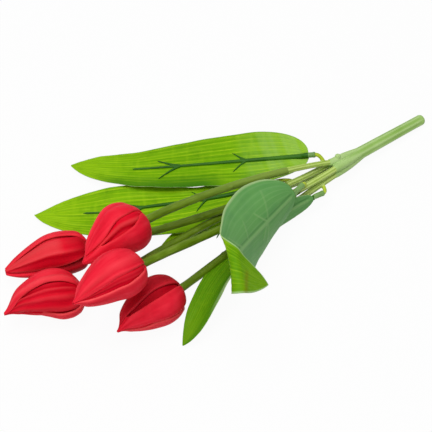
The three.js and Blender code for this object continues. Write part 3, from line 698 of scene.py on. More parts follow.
def build_branch(k):
    path, leaf = PATHS[k], LEAVES[k]
    mouth, along = place(f"leaf_{k + 1}_turn")
    peg = Path(bezier([path.at(leaf["peg"])[0], mouth - along * leaf["run"], mouth]))
    ball = [(-BALL_RADIUS * math.cos(a), BALL_RADIUS * math.sin(a)) for a in np.radians((12, 28, 45, 62, 78))]
    shaft = [(x, mix(*BRANCH_DIAS[k], x / BRANCH_LENGTH) / 2) for x in np.linspace(0, BRANCH_LENGTH, 60)]
    plug = [(BRANCH_LENGTH + x, r) for x, r in ((0.1, 2.2), (0.2, 1.75), (7, 1.7), (8, 1.3))]

    def grooves(distance, angle):
        fade = smooth(distance, 1, 8) * (1 - smooth(distance, 34, 37.5))
        return -GROOVE_DEPTH * (1 - crest(BRANCH_GROOVES * angle + k)) ** 3 * fade

    x = np.linspace(0.2, peg.length - 0.2, 30)
    thick = PEG_DIA / 2 + 0.35 * hill(x, 0, 3) - 0.12 * hill(x, peg.length * 0.5, 3)
    pin = ((0.15, 1.35), (0.25, PIN_DIA / 2), (PIN_LENGTH - 0.6, PIN_DIA / 2), (PIN_LENGTH - 0.1, 0.6))
    peg_stations = list(zip(x, thick)) + [(peg.length + x, r) for x, r in pin]
    shells = [path.tube(ball + shaft + plug, 32, grooves), peg.tube(peg_stations, 24)]
    obj = fused(f"branch_skin_{k + 1}", shells, voxel=0.3, rounds=3)
    settle(obj, f"branch_{k + 1}", f"stem_{k + 1}", "branch", BRANCH, PEG)

    # The peg is what lies further from the branch's middle line, and the grooves' painted shade and the ridges'
    # painted highlight are laid round that line
    steps = np.linspace(-2, BRANCH_LENGTH + 8, 120)
    line, (side, up) = path.at(steps), path.sides(steps)
    away = np.sqrt(squared_gaps(places_of(obj.data.polygons, "center"), line).min(1))
    obj.data.polygons.foreach_set("material_index", (away > PEG_BEYOND).astype(int))
    points = places_of(obj.data.vertices, "co")
    nearest = squared_gaps(points, line).argmin(1)
    off = points - line[nearest]
    angle = np.arctan2((off * up[nearest]).sum(1), (off * side[nearest]).sum(1))
    close = np.linalg.norm(off, axis=1) < GROOVES_WITHIN
    ridge = crest(BRANCH_GROOVES * angle + k)
    # Painted shade in the grooves and painted highlight on the ridges between them.
    paint(obj.data, "painted_groove_shade", close * (1 - ridge) ** 4)
    paint(obj.data, "line", close * 0.5 * ridge**3)


def build_stem(k):
    path = PATHS[k]
    start, end = BRANCH_LENGTH + 0.25, path.length
    s = np.linspace(start + 1.6, end - 0.4, 170)
    wide = mix(STEM_ROOT_DIA, STEM_TOP_DIA, s / end) / 2
    lip = [(start + x, r) for x, r in ((0, 2.1), (0.05, 2.5), (0.3, 2.66), (1.1, 2.66), (1.4, 2.6))]
    spigot = [(end + x, r) for x, r in ((-0.1, 2.6), (0, 1.72), (8.4, 1.7), (8.9, 1.2))]
    nub = 0.55 * end

    def swell(distance, angle):
        knob = 0.7 * hill(distance, nub, 1.2) * (hill(angle, 2.35, 0.4) + hill(angle, 2.35 + 2.6, 0.4) * 0.7)
        far = 0.6 * hill(distance, nub + 27, 1.1) * hill(angle, 0.9, 0.4)
        slight = 0.12 * ripple(distance / 9, k) * smooth(distance, start + 3, start + 12)
        flat = 0.1 * np.cos(2 * angle + 0.4 * k) + 0.05 * np.cos(5 * angle + distance / 30)
        inside = 1 - smooth(distance, end - 2, end - 0.5)
        return (knob + far + slight + flat * smooth(distance, start + 1, start + 6)) * inside

    points, faces, uv = path.tube(lip + list(zip(s, wide)) + spigot, 36, swell)
    pale = 1 - smooth(uv[:, 1] * 100, start, start + PALE_FOOT[k])
    obj = link_mesh(f"flower_tube_{k + 1}", points, faces, uv, {"pale": pale})
    settle(obj, f"flower_stem_{k + 1}", f"stem_{k + 1}", "stem", STEM)


# Flower heads
PETAL_ROWS = 84
PETAL_COLUMNS = 45


def head_radius(z):
    z = np.clip(np.asarray(z, float), 0, HEAD_LENGTH)
    widest = HEAD_WIDEST * HEAD_LENGTH
    base, full, tip = HEAD_BASE_DIA / 2, HEAD_DIA / 2, HEAD_TIP_DIA / 2
    low = base + (full - base) * np.sqrt(np.clip(1 - ((widest - np.minimum(z, widest)) / widest) ** 2, 0, 1))
    share = np.clip((z - widest) / (HEAD_LENGTH - widest), 0, 1)
    high = tip + (full - tip) * (1 - share**1.55) ** 0.9
    r = np.where(z < widest, low, high)
    foot = np.sqrt(np.clip(1 - (1 - z / HEAD_FOOT_HEIGHT) ** 2, 0, 1))
    return np.where(z < HEAD_FOOT_HEIGHT, mix(HEAD_FOOT_RADIUS, r, foot), r)


def fold_relief(marks, seed, t, degrees):
    """How far a petal's folds lift its outer face, and the part of it that is painted paler on the ridges, as a
    painted highlight with some wear, and darker in the grooves, as painted shade.
    """
    body = smooth(t, 0.02, 0.22) * (1 - smooth(t, 0.84, 0.98))
    a = np.radians(degrees)
    slow = 0.22 * np.cos(a * 3.3 + seed) + 0.08 * ripple(a * 7 + 2 * t, seed)
    sharp = np.zeros_like(degrees)
    for middle, width, height in marks:
        sharp = sharp + height * hill(degrees, middle, width)
    return (slow + sharp) * body, sharp * body


def petal_shell(
    left, right, thick, length, sink, marks, seed, tip=None, round_from=None, pale=0.0, painted_shading=None
):
    """A foam petal as a closed sheet with round rims. left and right give its margins in degrees round the
    head at shares of its length. tip is where a short petal's margins meet, from the share round_from on.
    sink(share, degrees) is how deep it lies under the head's outside, marks are its folds (middle, width, height),
    pale is how pale its rim is painted, partly as dust and partly as a painted highlight, and
    painted_shading(share, degrees) is the painted shade on its outer face, a painted highlight where it is below
    0."""
    t = mix(np.linspace(0, 1, PETAL_ROWS), 1 - crest(np.linspace(0, np.pi, PETAL_ROWS)), 0.8)
    z = mix(0.25, length, t)
    r = head_radius(z)
    dr, dz = np.gradient(r), np.gradient(z)
    steep = np.hypot(dr, dz)
    nr, nz = (dz / steep)[:, None], (-dr / steep)[:, None]
    u = np.sin(np.linspace(-np.pi / 2, np.pi / 2, PETAL_COLUMNS))
    lo, hi = left(t), right(t)
    tk = np.minimum(thick, 0.9 * r)[:, None]
    if tip is not None:
        close = round_off(t, round_from, 0.0004)
        lo, hi = tip + (lo - tip) * close, tip + (hi - tip) * close
        tk = tk * round_off(t, 0.96, 0.02)[:, None]
    degrees = mix(lo[:, None], hi[:, None], (u[None, :] + 1) / 2)
    half_mm = np.maximum(np.radians(hi - lo) / 2 * r, 0.05)[:, None]
    from_rim = (1 - np.abs(u))[None, :] * half_mm
    near = np.minimum(from_rim / (tk / 2), 1)
    h = tk / 2 * np.sqrt(np.clip(1 - (1 - near) ** 2, 0, 1))
    deep = np.minimum(sink(t[:, None], degrees), 0.6 * r[:, None])
    relief, sharp = fold_relief(marks, seed, t[:, None], degrees)
    lift = relief * smooth(r, 2.5, 7)[:, None] - deep
    a = np.radians(degrees)

    def side(sign):
        off = sign * h - tk / 2 + lift
        rr = np.maximum(r[:, None] + off * nr, 0.05)
        return np.stack([rr * np.cos(a), rr * np.sin(a), z[:, None] + off * nz], 2)

    def both(outer, inner):
        return np.concatenate([outer, inner[:, 1:-1][:, ::-1]], 1)

    points = both(side(1), side(-1))
    # Painted colour: a pale rim, partly dust and partly painted highlight; painted highlight on the fold ridges
    # and painted shade in the grooves; the painted shading of the outer face; and half-dark painted shade over the
    # inner side, inside the head.
    rim = np.exp(-from_rim / 0.8) * (smooth(t, 0.05, 0.15) * (1 - smooth(t, 0.9, 0.99)))[:, None] * pale
    dark = 0.24 * np.clip(-sharp, 0, 2) + (painted_shading(t[:, None], degrees) if painted_shading else 0)
    light = rim + 0.16 * np.clip(sharp, 0, 1.5) + np.clip(-dark, 0, 1)
    fields = {
        "pale": both(light, rim * 0.4).ravel(),
        "shade": both(np.clip(dark, 0, 1), np.full_like(degrees, 0.5)).ravel(),
    }
    angles = both(degrees, degrees)
    uv = np.stack([angles / 120 + 0.5, np.broadcast_to(t[:, None], angles.shape)], 2).reshape(-1, 2)
    return points.reshape(-1, 3), ring_faces(PETAL_ROWS, points.shape[1]), uv, fields


def head_frame(k):
    base, along = place(f"head_{k + 1}_twist")
    side = unit(np.cross(along, [0, 0, 1]))
    up = np.cross(side, along)
    window = turned(along, FLOWERS[k]["turn"]) @ up
    return base, np.stack([window, np.cross(along, window), along], 1)


# How each head's petals lie. high, low: the margins of the upper and lower petal beside the window. upper, lower:
# these petals' lengths and the angles of their tips. close: the shares between which the lower one closes the
# window. lap: how far the back petal laps round. rim: how pale the lower petal's rim is painted, partly as dust
# and partly as a painted highlight. face: the window shows a whole petal over or under its neighbours. sink: how
# deep the face lies. folds, upper_folds: those of the face and the upper petal. painted_shade: how dark the upper
# petal and the face are painted, as painted shade. lean: at shares of its length the head moves right, up and
# towards the camera. full, point: how wide its belly and tip are. drop: how far its foot runs down.
PLAIN_HEAD = {
    "upper": (54.3, None), "lower": (54.5, None), "close": None, "lap": -119, "rim": 0.1, "face": None,
    "painted_shade": (0, 0), "drop": 0, "upper_folds": [],
}
HEADS = [
    PLAIN_HEAD | {
        "high": [(0, 18), (0.12, 14), (0.3, 7), (0.5, 4), (0.64, 0), (0.76, -8), (0.84, -12), (1, -12)],
        "low": [(0, 15), (0.12, 2), (0.3, -22), (0.5, -32), (0.64, -29), (0.76, -20), (0.84, -14), (1, -13)],
        "upper": (51.5, 26), "close": (0.76, 0.9), "full": 1.13, "point": 0.75, "sink": 1.1,
        "lean": ((0.22, -0.4, 2.2, 0), (0.5, -0.8, 4.6, 0), (1, 0.3, -2.4, 0)),
        "folds": [(-12, 6, 0.9), (-1, 2.4, -0.9), (-23, 3.2, -1.6), (-30, 3, 0.4)],
        "upper_folds": [(62, 5, 1.1), (48, 6, -0.4)],
    },
    PLAIN_HEAD | {
        "high": [(0, 44), (0.2, 52), (0.5, 55), (0.75, 52), (0.9, 46), (1, 36)],
        "low": [(0, -24), (0.2, -36), (0.45, -44), (0.7, -45), (0.86, -42), (1, -36)],
        "face": "over", "painted_shade": (0, 0.4), "full": 0.97, "point": 1, "drop": 4, "sink": 0.7,
        "lean": ((0.5, 0, 1.5, -3), (1, -2.5, -3.4, -2.6)),
        "folds": [(-3, 5, 0.7), (-17, 8, -0.7), (48, 6, -1.0), (26, 8, 0.3)],
    },
    PLAIN_HEAD | {
        "high": [(0, 30), (0.2, 36), (0.45, 38), (0.7, 34), (0.82, 24), (0.9, 4), (1, -30)],
        "low": [(0, -40), (0.2, -49), (0.45, -53), (0.7, -58), (0.85, -64), (1, -70)],
        "lower": (44, -80), "rim": 0.35, "face": "under", "painted_shade": (0, 0.1), "full": 1.12, "point": 0.55,
        "sink": 1.5,
        "lean": ((0.22, -0.2, 2.8, 1), (0.5, -0.5, 5.6, 2.2), (0.82, -1.4, 5.4, 2), (1, -2.2, -0.4, 1.5)),
        "folds": [(19, 4, 0.9), (29, 5, -1.9), (9, 4, -1.0), (-3, 6, 0.6), (-18, 6, -0.6), (-32, 7, 0.5)],
        "upper_folds": [(46, 6, 0.9)],
    },
    PLAIN_HEAD | {
        "high": [(0, 11), (0.15, 11), (0.45, 8), (0.7, 4), (0.88, -2), (1, -8)],
        "low": [(0, 3), (0.15, -7), (0.4, -17), (0.65, -19), (0.85, -17), (1, -12)],
        "rim": 0.35, "painted_shade": (0, 0.1), "full": 1.07, "point": 0.5, "sink": 0.7,
        "lean": ((0.5, -0.6, 2.1, 0), (1, -0.6, -1.4, 0)),
        "folds": [(5, 2.5, 0.5), (1, 2, -0.5), (-4, 2.5, 0.5), (-11, 4, -0.5)],
        "upper_folds": [(34, 12, 0.4), (15, 3, 0.3), (20, 2, -0.3)],
    },
    PLAIN_HEAD | {
        "high": [(0, -4), (0.15, 1), (0.45, 7), (0.7, 6), (0.86, 0), (1, -4)],
        "low": [(0, -8), (0.15, -13), (0.45, -16), (0.7, -14), (0.86, -8), (1, -7)],
        "upper": (52, 30), "close": (0.84, 0.95), "lap": -86, "painted_shade": (0.42, 0.5), "full": 1.1, "point": 0.5,
        "sink": 2.0,
        "lean": ((0.5, -1, 0.8, 0), (0.85, -0.8, 0.4, 0), (1, -0.6, -3.2, 0)),
        "folds": [(-5, 9, -0.9)],
        "upper_folds": [(20, 9, -0.8)],
    },
]
# Right, up and towards the camera, as the picture shows them
LEAN_WAYS = np.array([[0.8241, -0.5664, 0.0], [0.4640, 0.6751, 0.5736], [-0.3249, -0.4727, 0.8192]])


def steady(value):
    """The same margin all along a petal."""
    return lambda t: np.full_like(t, value)


def even(value):
    """The same depth or tone all over a petal."""
    return lambda t, degrees: np.full_like(degrees, value)


def build_head(k):
    look = HEADS[k]
    number = k + 1
    base, axes = head_frame(k)
    high, low = curve(look["high"]), curve(look["low"])
    upper_length, upper_tip = look["upper"]
    lower_length, lower_tip = look["lower"]
    upper_painted_shade, face_painted_shade = look["painted_shade"]
    leans = [curve([(0, 0)] + [(at, step[i]) for at, *step in look["lean"]]) for i in range(3)]
    over = look["face"] == "over"
    lap = look["lap"]
    laps = lap > PLAIN_HEAD["lap"]

    def set_down(points):
        z = points[:, 2]
        belly = smooth(z, 0, 14) * (1 - smooth(z, 42, 54))
        swell = mix(1, look["full"], belly) * mix(1, look["point"], smooth(z, 46, 54.5))
        height = z - look["drop"] * (1 - smooth(z, 0, 30))
        world = base + np.stack([points[:, 0] * swell, points[:, 1] * swell, height], 1) @ axes.T
        for lean, way in zip(leans, LEAN_WAYS):
            world += lean(z / HEAD_LENGTH)[:, None] * way
        world[:, 2] = np.maximum(world[:, 2], TABLE_GAP)
        return world

    def lower_sink(t, degrees):
        if over:
            return 4.2 * smooth(degrees, -62, -40)
        under = 1.6 * (1 - smooth(degrees, lap - 2, lap + 16)) if laps else 0 * degrees
        if look["face"]:
            return 2.4 * smooth(t, 0.4, 0.9) + under
        if not look["close"]:
            return under
        start = look["close"][0]
        return 1.5 * smooth(t, start - 0.02, start + 0.08) * smooth(degrees, -14, -2) + under

    def lower_edge(t):
        if over:
            return low(t) + 16
        if look["face"] or not look["close"]:
            return low(t)
        return mix(low(t), 70, smooth(t, *look["close"]))

    # Painted shadow on the lower petal towards its foot, where the next head shades it.
    def lower_painted_shadow(t, degrees):
        return 0.75 * (1 - smooth(t, 0.2, 0.6)) + 0 * degrees

    # Painted shade on the face's lower facet and towards its foot, where the next head shades it, and a faint
    # painted highlight over the rest.
    def over_face_light_and_shade(t, degrees):
        return face_painted_shade * np.maximum(smooth(-3 - degrees, -3, 6), 1.4 * (1 - smooth(t, 0.08, 0.4))) - 0.15

    def face_sink(t, degrees):
        if over:
            return look["sink"] + 2.2 * smooth(degrees, 44, 56)
        if look["face"] == "under":
            hidden = np.maximum(smooth(degrees, 32, 42), 1 - smooth(degrees, -52, -42))
            return look["sink"] + 1.6 * hidden * (1 - smooth(t, 0.74, 0.9))
        middle, half = (high(t) + low(t)) / 2, (high(t) - low(t)) / 2
        rim = 0.7 if look["close"] else 0.92
        return mix(look["sink"], 2.9, smooth(np.abs(degrees - middle), rim * half, half + 8))

    def face_edge(t):
        return low(t) if over else mix(low(t) - 12, -118, smooth(t, 0.55, 0.8))

    # The upper petal is painted darker by the head's painted shade.
    upper = petal_shell(high, steady(119), PETAL_THICKNESS, upper_length, even(0), look["upper_folds"], k,
                        tip=upper_tip, round_from=0.72, pale=0.12, painted_shading=even(upper_painted_shade))
    back_edge = curve([(0, 239), (0.15, 361 + lap), (0.6, 366 + lap), (0.8, 250), (1, 239)])
    back = petal_shell(steady(121), back_edge, PETAL_THICKNESS, HEAD_LENGTH, even(0), [], k + 2,
                       pale=0.4 if laps else 0.05)
    lower = petal_shell(steady(-119), lower_edge, PETAL_THICKNESS, lower_length, lower_sink, [], k + 4,
                        tip=lower_tip, round_from=0.4, pale=look["rim"], painted_shading=lower_painted_shadow if over else None)
    for letter, shell in (("a", upper), ("b", back), ("c", lower)):
        obj = link_mesh(f"petal_{number}{letter}", set_down(shell[0]), *shell[1:])
        settle(obj, f"outer_petal_{number}{letter}", f"head_{number}", "petal", PETAL)

    face_light_and_shade = over_face_light_and_shade if over else even(face_painted_shade)
    if look["face"]:
        face = petal_shell(face_edge, steady(64), FACE_THICKNESS, HEAD_LENGTH, face_sink, look["folds"], k,
                           pale=0.5 if over else 0, painted_shading=face_light_and_shade)
    else:
        face = petal_shell(steady(-58), steady(58), INNER_THICKNESS, WINDOW_LENGTH, face_sink, look["folds"],
                           k, tip=0, round_from=0.6, painted_shading=face_light_and_shade)
    shells = [face]
    for middle in (120, 240):
        left, right = steady(middle - 57), steady(middle + 57)
        shells.append(petal_shell(left, right, INNER_THICKNESS, INNER_LENGTH, even(INNER_SINK), [], k,
                                  tip=middle, round_from=0.6))
    points, faces = gather(shells)
    uv = np.concatenate([s[2] for s in shells])
    fields = {f: np.concatenate([s[3][f] for s in shells]) for f in ("pale", "shade")}
    obj = link_mesh(f"inner_petal_cup_{number}", set_down(points), faces, uv, fields)
    settle(obj, f"inner_petals_{number}", f"head_{number}", "inner_petal", INNER)


# Leaves
class Leaf:
    """A leaf's middle line, which leaves the socket straight and then bends, sweeps and twists."""

    STEPS = 320

    def __init__(self, k):
        data = LEAVES[k]
        self.size, self.cup, self.fold = data["size"], data["cup"], data["fold"]
        self.length = self.end = self.size * LEAF_LENGTH
        if self.fold:
            self.end = self.fold[0] + (self.length - self.fold[0]) / (1 + self.fold[3])
        self.half = data["breadth"] * LEAF_WIDTH / 2
        self.start = data["start"]
        self.trim = [curve(stops) for stops in data["trim"]]
        self.rib_end, self.rib_drift = self.size * data["rib"][0], data["rib"][1]
        self.mouth, self.along = place(f"leaf_{k + 1}_turn")
        level = unit(np.cross([0, 0, 1], self.along))
        across = turned(self.along, data["roll"]) @ level
        m = np.stack([self.along, across, np.cross(self.along, across)], 1)
        more_turn = curve(data["turn"])
        self.stride = (self.length - SOCKET_LENGTH) / self.STEPS
        p = self.mouth + self.along * SOCKET_LENGTH
        places, turns = [p], [m]
        for i in range(self.STEPS):
            share, low = (i + 0.5) / self.STEPS, 0.0
            for to, bend, sweep, twist in data["portions"]:
                if share < to:
                    break
                low = to
            f = 1 / ((to - low) * self.STEPS)
            m = m @ turned((0, -1, 0), bend * f) @ turned((0, 0, 1), sweep * f) @ turned((1, 0, 0), twist * f)
            p = p + m[:, 0] * self.stride
            places.append(p)
            turns.append(m @ turned((1, 0, 0), float(more_turn(share))))
        self.places, self.turns = np.array(places), np.array(turns)
        self.distance = SOCKET_LENGTH + np.arange(self.STEPS + 1) * self.stride

    def share(self, d):
        """How far along the outline a distance is; past a fold the outline runs out sooner."""
        d = np.asarray(d, float)
        if self.fold:
            d = d + self.fold[3] * np.maximum(d - self.fold[0], 0)
        return np.clip((d - self.start) / (self.length - self.start), 0, 1)

    def half_width(self, d):
        share = self.share(d)
        first = np.clip(1 - share / LEAF_WIDEST, 0, 1)
        past = np.clip((share - LEAF_WIDEST) / (1 - LEAF_WIDEST), 0, 1)
        low = mix(LEAF_NECK_HALF, self.half, np.sqrt(np.clip(1 - first**2.2, 0, 1)))
        high = mix(LEAF_TIP_HALF, self.half, np.sqrt(np.clip((1 - past**1.25) * (1 - past**14), 0, 1)))
        return np.where(share < LEAF_WIDEST, low, high)

    def drift(self, d):
        """How far the rib lies beside the middle line."""
        return self.rib_drift * smooth(d, 20, 100)

    def rib_shown(self, d):
        """Where the rib presses through, between 0 and 1."""
        return smooth(d, self.start, self.start + 6) * (1 - smooth(d, self.rib_end - 4, self.rib_end + 8))

    def reach(self, d, column):
        """How far the blade runs beside the middle line at a column between -1 and 1."""
        share = self.share(d)
        return column * self.half_width(d) * np.where(column < 0, self.trim[0](share), self.trim[1](share))

    def point(self, d, beside, above):
        """Points beside the middle line and above the blade's curved section."""
        d, beside, above = (np.asarray(x, float).ravel() for x in np.broadcast_arrays(d, beside, above))
        cup = mix(self.cup[0], self.cup[1], self.share(d))
        slope = np.arctan(2 * cup * beside / self.half**2)
        x, reached = d, d
        y = beside - above * np.sin(slope)
        z = cup * (beside / self.half) ** 2 + above * np.cos(slope)
        if self.fold:
            at, skew, angle = self.fold[:3]
            c, s = math.cos(math.radians(skew)), math.sin(math.radians(skew))
            q, p = (d - at) * c + y * s, -(d - at) * s + y * c
            over = q > 0
            bent = np.clip(q, 0, FOLD_RADIUS * math.radians(angle)) / FOLD_RADIUS
            past = np.maximum(q - FOLD_RADIUS * bent, 0)
            r = FOLD_RADIUS + z
            q2 = np.where(over, r * np.sin(bent) + past * np.cos(bent), q)
            z = np.where(over, r * np.cos(bent) - FOLD_RADIUS - past * np.sin(bent), z)
            x, y = at + q2 * c - p * s, q2 * s + p * c
            reached = np.where(over, np.minimum(d, at), d)
        index = np.clip(np.rint((reached - SOCKET_LENGTH) / self.stride).astype(int), 0, self.STEPS)
        local = np.stack([x - np.maximum(reached, SOCKET_LENGTH), y, z], 1)
        found = between(reached, self.distance, self.places)
        return found + np.einsum("nij,nj->ni", self.turns[index], local)


def barb_lines(leaf):
    """The barbs, as distances along and beside the middle line."""
    t = np.linspace(0, 1, 14)
    for at, run, less, more in BARBS:
        d = leaf.size * (at + t * run)
        if d[0] < leaf.rib_end:
            for reach in (-less, more):
                yield d, leaf.size * reach * t**1.25 + leaf.drift(d), t


def welt_at(leaf, d, beside):
    """How strongly the rib and its barbs press through the blade, and creases on the folded one."""
    def ridge(x, y, width):
        return hill(np.sqrt(((d[..., None] - x) ** 2 + (beside[..., None] - y) ** 2).min(-1)), 0, width)

    welt = hill(beside, leaf.drift(d), 1.5) * leaf.rib_shown(d)
    for x, y, _ in barb_lines(leaf):
        welt = np.maximum(welt, ridge(x, y, 1.1) * 0.85)
    if leaf.fold:
        t = np.linspace(0, 1, 16)
        for start, end in (((50, 2), (40, 17)), ((52, -2), (56, -16)), ((88, 2), (82, 12))):
            welt = np.maximum(welt, ridge(mix(start[0], end[0], t), mix(start[1], end[1], t), 1.6) * 0.6)
    return welt


BLADE_ROWS = ((0, 0.06, 14), (0.067, 0.94, 156), (0.945, 1, 20))
BLADE_COLUMNS = 61
FLAT_STEPS = 400


def blade_fields(leaf, number, d, beside, column, welt):
    """What a blade's materials show where: pressed ribs, pale parts, painted shade and a painted sheen, worn or
    stained edges.
    """
    share = leaf.share(d)
    pale = np.maximum(1 - smooth(share, 0.0, 0.3), smooth(share, 0.7, 1.0))
    pale = np.clip(pale + 0.35 * smooth(np.abs(column), 0.75, 1), 0, 1)
    hem = smooth(leaf.half_width(d) * (1 - np.abs(column)), 1.3, 0.5) * smooth(share, 0.02, 0.08)
    # A painted shadow along one side of the pressed rib.
    painted_rib_shadow = hill(beside, 2.3, 0.9) * leaf.rib_shown(d)
    painted_leaf_shade = pale_edge_and_sheen = brown = np.zeros_like(d)
    if number == 1:
        # Leaf 1: painted shade along its lower margin, where it turns down, and a darker middle.
        low_side = smooth(share, 0.3, 0.45) * (1 - smooth(share, 0.78, 0.92))
        painted_leaf_shade = 0.08 + 0.14 * hill(share, 0.5, 0.14) + 0.72 * smooth(column, 0.3, 1) * low_side
        # A painted sheen near the base of leaf 1.
        patchy = 0.6 + 0.4 * ripple(d / 3 + 2.5 * column, 2)
        pale_edge_and_sheen = 0.36 * patchy * (1 - smooth(share, 0.12, 0.34))
    elif leaf.fold:
        # Painted shade over the flap past the fold.
        crease = leaf.fold[0]
        painted_leaf_shade = 0.44 * smooth(d, crease, crease + 6)
        pale_edge_and_sheen = hem
        brown = hill(d, crease + 21, 2.0) * (1 - smooth(column, -0.2, 0.3))
    elif number == 5:
        # Painted shade over the whole of leaf 5, darker towards one margin.
        painted_leaf_shade = 0.6 + 0.2 * smooth(column, 0.0, 0.8) + 0 * d
        pale_edge_and_sheen = smooth(column, 0.72, 0.84) * smooth(share, 0.44, 0.52) * (1 - smooth(share, 0.66, 0.85))
    fields = {"welt": welt, "pale": pale, "painted_leaf_shade": painted_leaf_shade, "hem": hem, "painted_rib_shadow": painted_rib_shadow, "pale_edge_and_sheen": pale_edge_and_sheen,
              "brown": brown}
    return {name: np.tile(np.ravel(values), 2) for name, values in fields.items()}


def build_blade(k):
    leaf = Leaf(k)
    number = k + 1
    row = leaf.start + np.concatenate([np.linspace(*part) for part in BLADE_ROWS]) * (leaf.end - leaf.start)
    column = np.linspace(-1, 1, BLADE_COLUMNS)[None, :]
    d = row[:, None] + np.zeros(BLADE_COLUMNS)
    if leaf.fold:
        at, skew = leaf.fold[:2]
        lean = math.tan(math.radians(skew)) * smooth(row, at - leaf.half, at)
        for _ in range(8):
            d = np.minimum(leaf.end, row[:, None] - lean[:, None] * leaf.reach(d, column))
    beside = leaf.reach(d, column)
    share = leaf.share(d)
    body = smooth(share, 0.05, 0.2) * (1 - smooth(share, 0.93, 1))
    wave = 0.55 * ripple(d / 13, k) * np.abs(column) ** 3 * body
    wave = wave + 0.35 * ripple(d / 21 + 2 * column, k + 3) * body * (1 - hill(beside, 0, 3))
    if number == 2:
        wave = wave - 1.8 * smooth(-column, 0.3, 1) * hill(share, 0.75, 0.25)
    veins = VEIN_HEIGHT * np.cos(beside / leaf.half * math.pi * VEIN_WAVES)
    veins = veins * body * smooth(np.abs(beside), 1.6, 4)
    welt = welt_at(leaf, d, beside)
    channel = hill(beside, 0, 2.7) * (1 - smooth(d, 9, 17))
    top = -RIB_HEIGHT / 2 - BLADE_GAP - 1.4 * channel + wave + veins
    bottom = top - BLADE_THICKNESS - WELT_HEIGHT * welt - 0.5 * veins
    upper = leaf.point(d, beside, top)
    under = leaf.point(d, beside, bottom)
    lift = np.maximum(TABLE_GAP - under[:, 2], 0)
    upper[:, 2] += lift
    under[:, 2] += lift

    # Both sides and the cut edge round them
    rows, columns = d.shape
    count = rows * columns
    i, j = np.meshgrid(np.arange(rows - 1), np.arange(columns - 1), indexing="ij")
    a = (i * columns + j).ravel()
    face_top = np.stack([a, a + 1, a + columns + 1, a + columns], 1)
    face_under = np.stack([a, a + columns, a + columns + 1, a + 1], 1) + count
    border = np.concatenate([
        np.arange(columns), np.arange(1, rows) * columns + columns - 1,
        (rows - 1) * columns + np.arange(columns - 2, -1, -1), np.arange(rows - 2, 0, -1) * columns,
    ])
    follow = np.roll(border, -1)
    face_edge = np.stack([border, border + count, follow + count, follow], 1)
    sets = (face_top, face_under, face_edge)
    uv = np.stack([column / 2 + 0.5 + 0 * d, d / LEAF_LENGTH], 2).reshape(-1, 2)
    obj = link_mesh(f"leaf_cloth_{number}", np.concatenate([upper, under]), np.concatenate(sets).tolist(),
                    np.concatenate([uv, uv]), blade_fields(leaf, number, d, beside, column, welt))
    settle(obj, f"leaf_blade_{number}", f"leaf_{number}", "blade", BLADE_TOP, BLADE_UNDER, BLADE_EDGE)
    kinds = np.concatenate([np.full(len(faces), kind) for kind, faces in enumerate(sets)])
    obj.data.polygons.foreach_set("material_index", kinds)

    # The flat size, from the outline
    flat_d = np.linspace(leaf.start, leaf.end, FLAT_STEPS)
    wide = leaf.reach(flat_d, np.ones(FLAT_STEPS)) - leaf.reach(flat_d, -np.ones(FLAT_STEPS))


RIB_SECTION = np.radians(np.linspace(-20, 200, 13))


def strip(leaf, d, beside, width, height):
    """A half-round strip on the blade's upper side."""
    rings = []
    for x, y, w, h in zip(d, beside, width, height):
        above = -RIB_HEIGHT / 2 + h * np.maximum(np.sin(RIB_SECTION), -0.35)
        rings.append(leaf.point(x, y + w / 2 * np.cos(RIB_SECTION), above))
    return np.concatenate(rings), ring_faces(len(rings), len(RIB_SECTION))


def build_rib(k):
    leaf = Leaf(k)
    number = k + 1
    s = np.linspace(SOCKET_LENGTH - 2.5, leaf.rib_end, 90)
    t = (s - s[0]) / (s[-1] - s[0])
    close = round_off(t, 0.97, 0.04)
    shells = [strip(leaf, s, leaf.drift(s), mix(4.0, 1.7, t**0.8) * close, mix(1.8, 0.9, t) * close)]
    for x, y, u in barb_lines(leaf):
        shells.append(strip(leaf, x, y, mix(2.9, 1.0, u) * round_off(u, 0.85, 0.05), mix(1.25, 0.5, u)))
    r = SOCKET_DIA / 2
    socket = [
        (0, 6.6), (1.25, 6.6), (1.28, 0.1), (1.6, -0.12), (r - 0.12, -0.1), (r + 0.05, 0.25), (r + 0.05, 1.3),
        (r - 0.12, 1.7), (r - 0.1, SOCKET_LENGTH - 4), (r - 0.5, SOCKET_LENGTH - 1.6), (0.7, SOCKET_LENGTH),
        (0, SOCKET_LENGTH + 0.1),
    ]
    shells.append(lathe(socket, leaf.mouth, leaf.along))
    obj = fused(f"leaf_moulding_{number}", shells, voxel=0.27, rounds=2)
    settle(obj, f"leaf_rib_{number}", f"leaf_{number}", "rib", RIB, SLEEVE)
    from_mouth = (places_of(obj.data.polygons, "center") - leaf.mouth) @ leaf.along
    obj.data.polygons.foreach_set("material_index", (from_mouth < SLEEVE_LENGTHS[k]).astype(int))


build_handle()
for k in range(5):
    build_branch(k)
    build_stem(k)
    build_head(k)
    build_rib(k)
    build_blade(k)

# The solids that stay as they are: the bud cores and the wires inside the mouldings
for name, node in frame["nodes"].items():
    kept = CORE if name.startswith("bud_core") else WIRE if "wire" in name else None
    if kept:
        node.data.materials.clear()
        node.data.materials.append(kept)

# Floor, light and camera, in metres
FLOOR_RADIUS = 4
FLOOR_SIDES = 48
FLOOR_GREY = 0.75
FLOOR_GLOW = 0.95
ROOM_LIGHT = 0.38
CAMERA_AZIMUTH = -34.5
CAMERA_ELEVATION = 55
CAMERA_DISTANCE = 0.9
CAMERA_LENS = 104.89
TARGET_FROM_CROWN = (-0.09837, 0.00985, 0.006)
LAMP_DISTANCE = 1.3


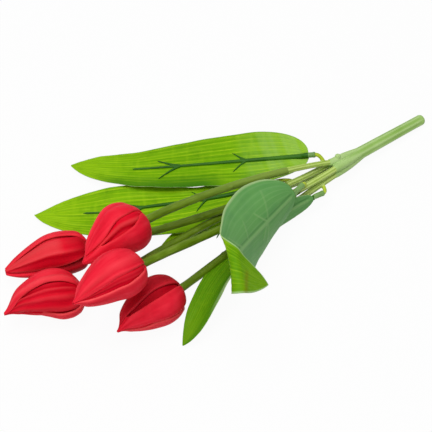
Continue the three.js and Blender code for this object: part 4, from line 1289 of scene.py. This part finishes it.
def build_floor():
    """A pale floor that the camera sees nearly white, with the object's shadow."""
    turns = [2 * math.pi * i / FLOOR_SIDES for i in range(FLOOR_SIDES)]
    ring = [(FLOOR_RADIUS * math.cos(a), FLOOR_RADIUS * math.sin(a), 0.0) for a in turns]
    mesh = bpy.data.meshes.new("floor")
    mesh.from_pydata(ring, [], [tuple(range(FLOOR_SIDES))])
    material = bpy.data.materials.new("pale_floor")
    material.use_nodes = True
    tree = Nodes(material.node_tree)
    tree.nodes.clear()
    paper = tree.add("ShaderNodeBsdfDiffuse", Color=(FLOOR_GREY, FLOOR_GREY, FLOOR_GREY, 1))
    share = tree.math("MULTIPLY", tree.seen(), FLOOR_GLOW)
    tree.end_in("ShaderNodeOutputMaterial", share, paper, tree.add("ShaderNodeEmission"))
    mesh.materials.append(material)
    add_object("floor", mesh)


def build_world():
    """An even room, white where it is seen."""
    world = bpy.data.worlds.new("studio")
    bpy.context.scene.world = world
    world.use_nodes = True
    tree = Nodes(world.node_tree)
    tree.nodes.clear()
    room = tree.add("ShaderNodeBackground", Color=(1, 1, 1, 1), Strength=ROOM_LIGHT)
    white = tree.add("ShaderNodeBackground", Color=(1, 1, 1, 1), Strength=1.0)
    tree.end_in("ShaderNodeOutputWorld", tree.seen(), room, white)


def stand(obj, azimuth, elevation, distance, target=Vector((0, 0, 0))):
    """Stands a lamp or the camera off from a target, facing it."""
    a, e = math.radians(azimuth), math.radians(elevation)
    back = Vector((math.sin(a) * math.cos(e), -math.cos(a) * math.cos(e), math.sin(e)))
    obj.location = target + back * distance
    obj.rotation_mode = "QUATERNION"
    obj.rotation_quaternion = (-back).to_track_quat("-Z", "Y")


def build_lamp(name, azimuth, elevation, size, power):
    data = bpy.data.lights.new(name, "AREA")
    data.shape = "DISK"
    data.size = size
    data.energy = power
    stand(add_object(name, data), azimuth, elevation, LAMP_DISTANCE)


def build_camera():
    data = bpy.data.cameras.new("camera")
    data.sensor_width = 36
    data.lens = CAMERA_LENS
    data.clip_start, data.clip_end = 0.01, 50
    camera = add_object("camera", data)
    target = Vector((CROWN / 1000).tolist()) + Vector(TARGET_FROM_CROWN)
    stand(camera, CAMERA_AZIMUTH, CAMERA_ELEVATION, CAMERA_DISTANCE, target)
    bpy.context.scene.camera = camera


build_floor()
build_world()
build_lamp("key_light", -100, 82, 0.9, 11.0)
build_lamp("fill_light", -60, 35, 1.2, 2.2)
build_camera()
bpy.context.scene.view_settings.view_transform = "Standard"
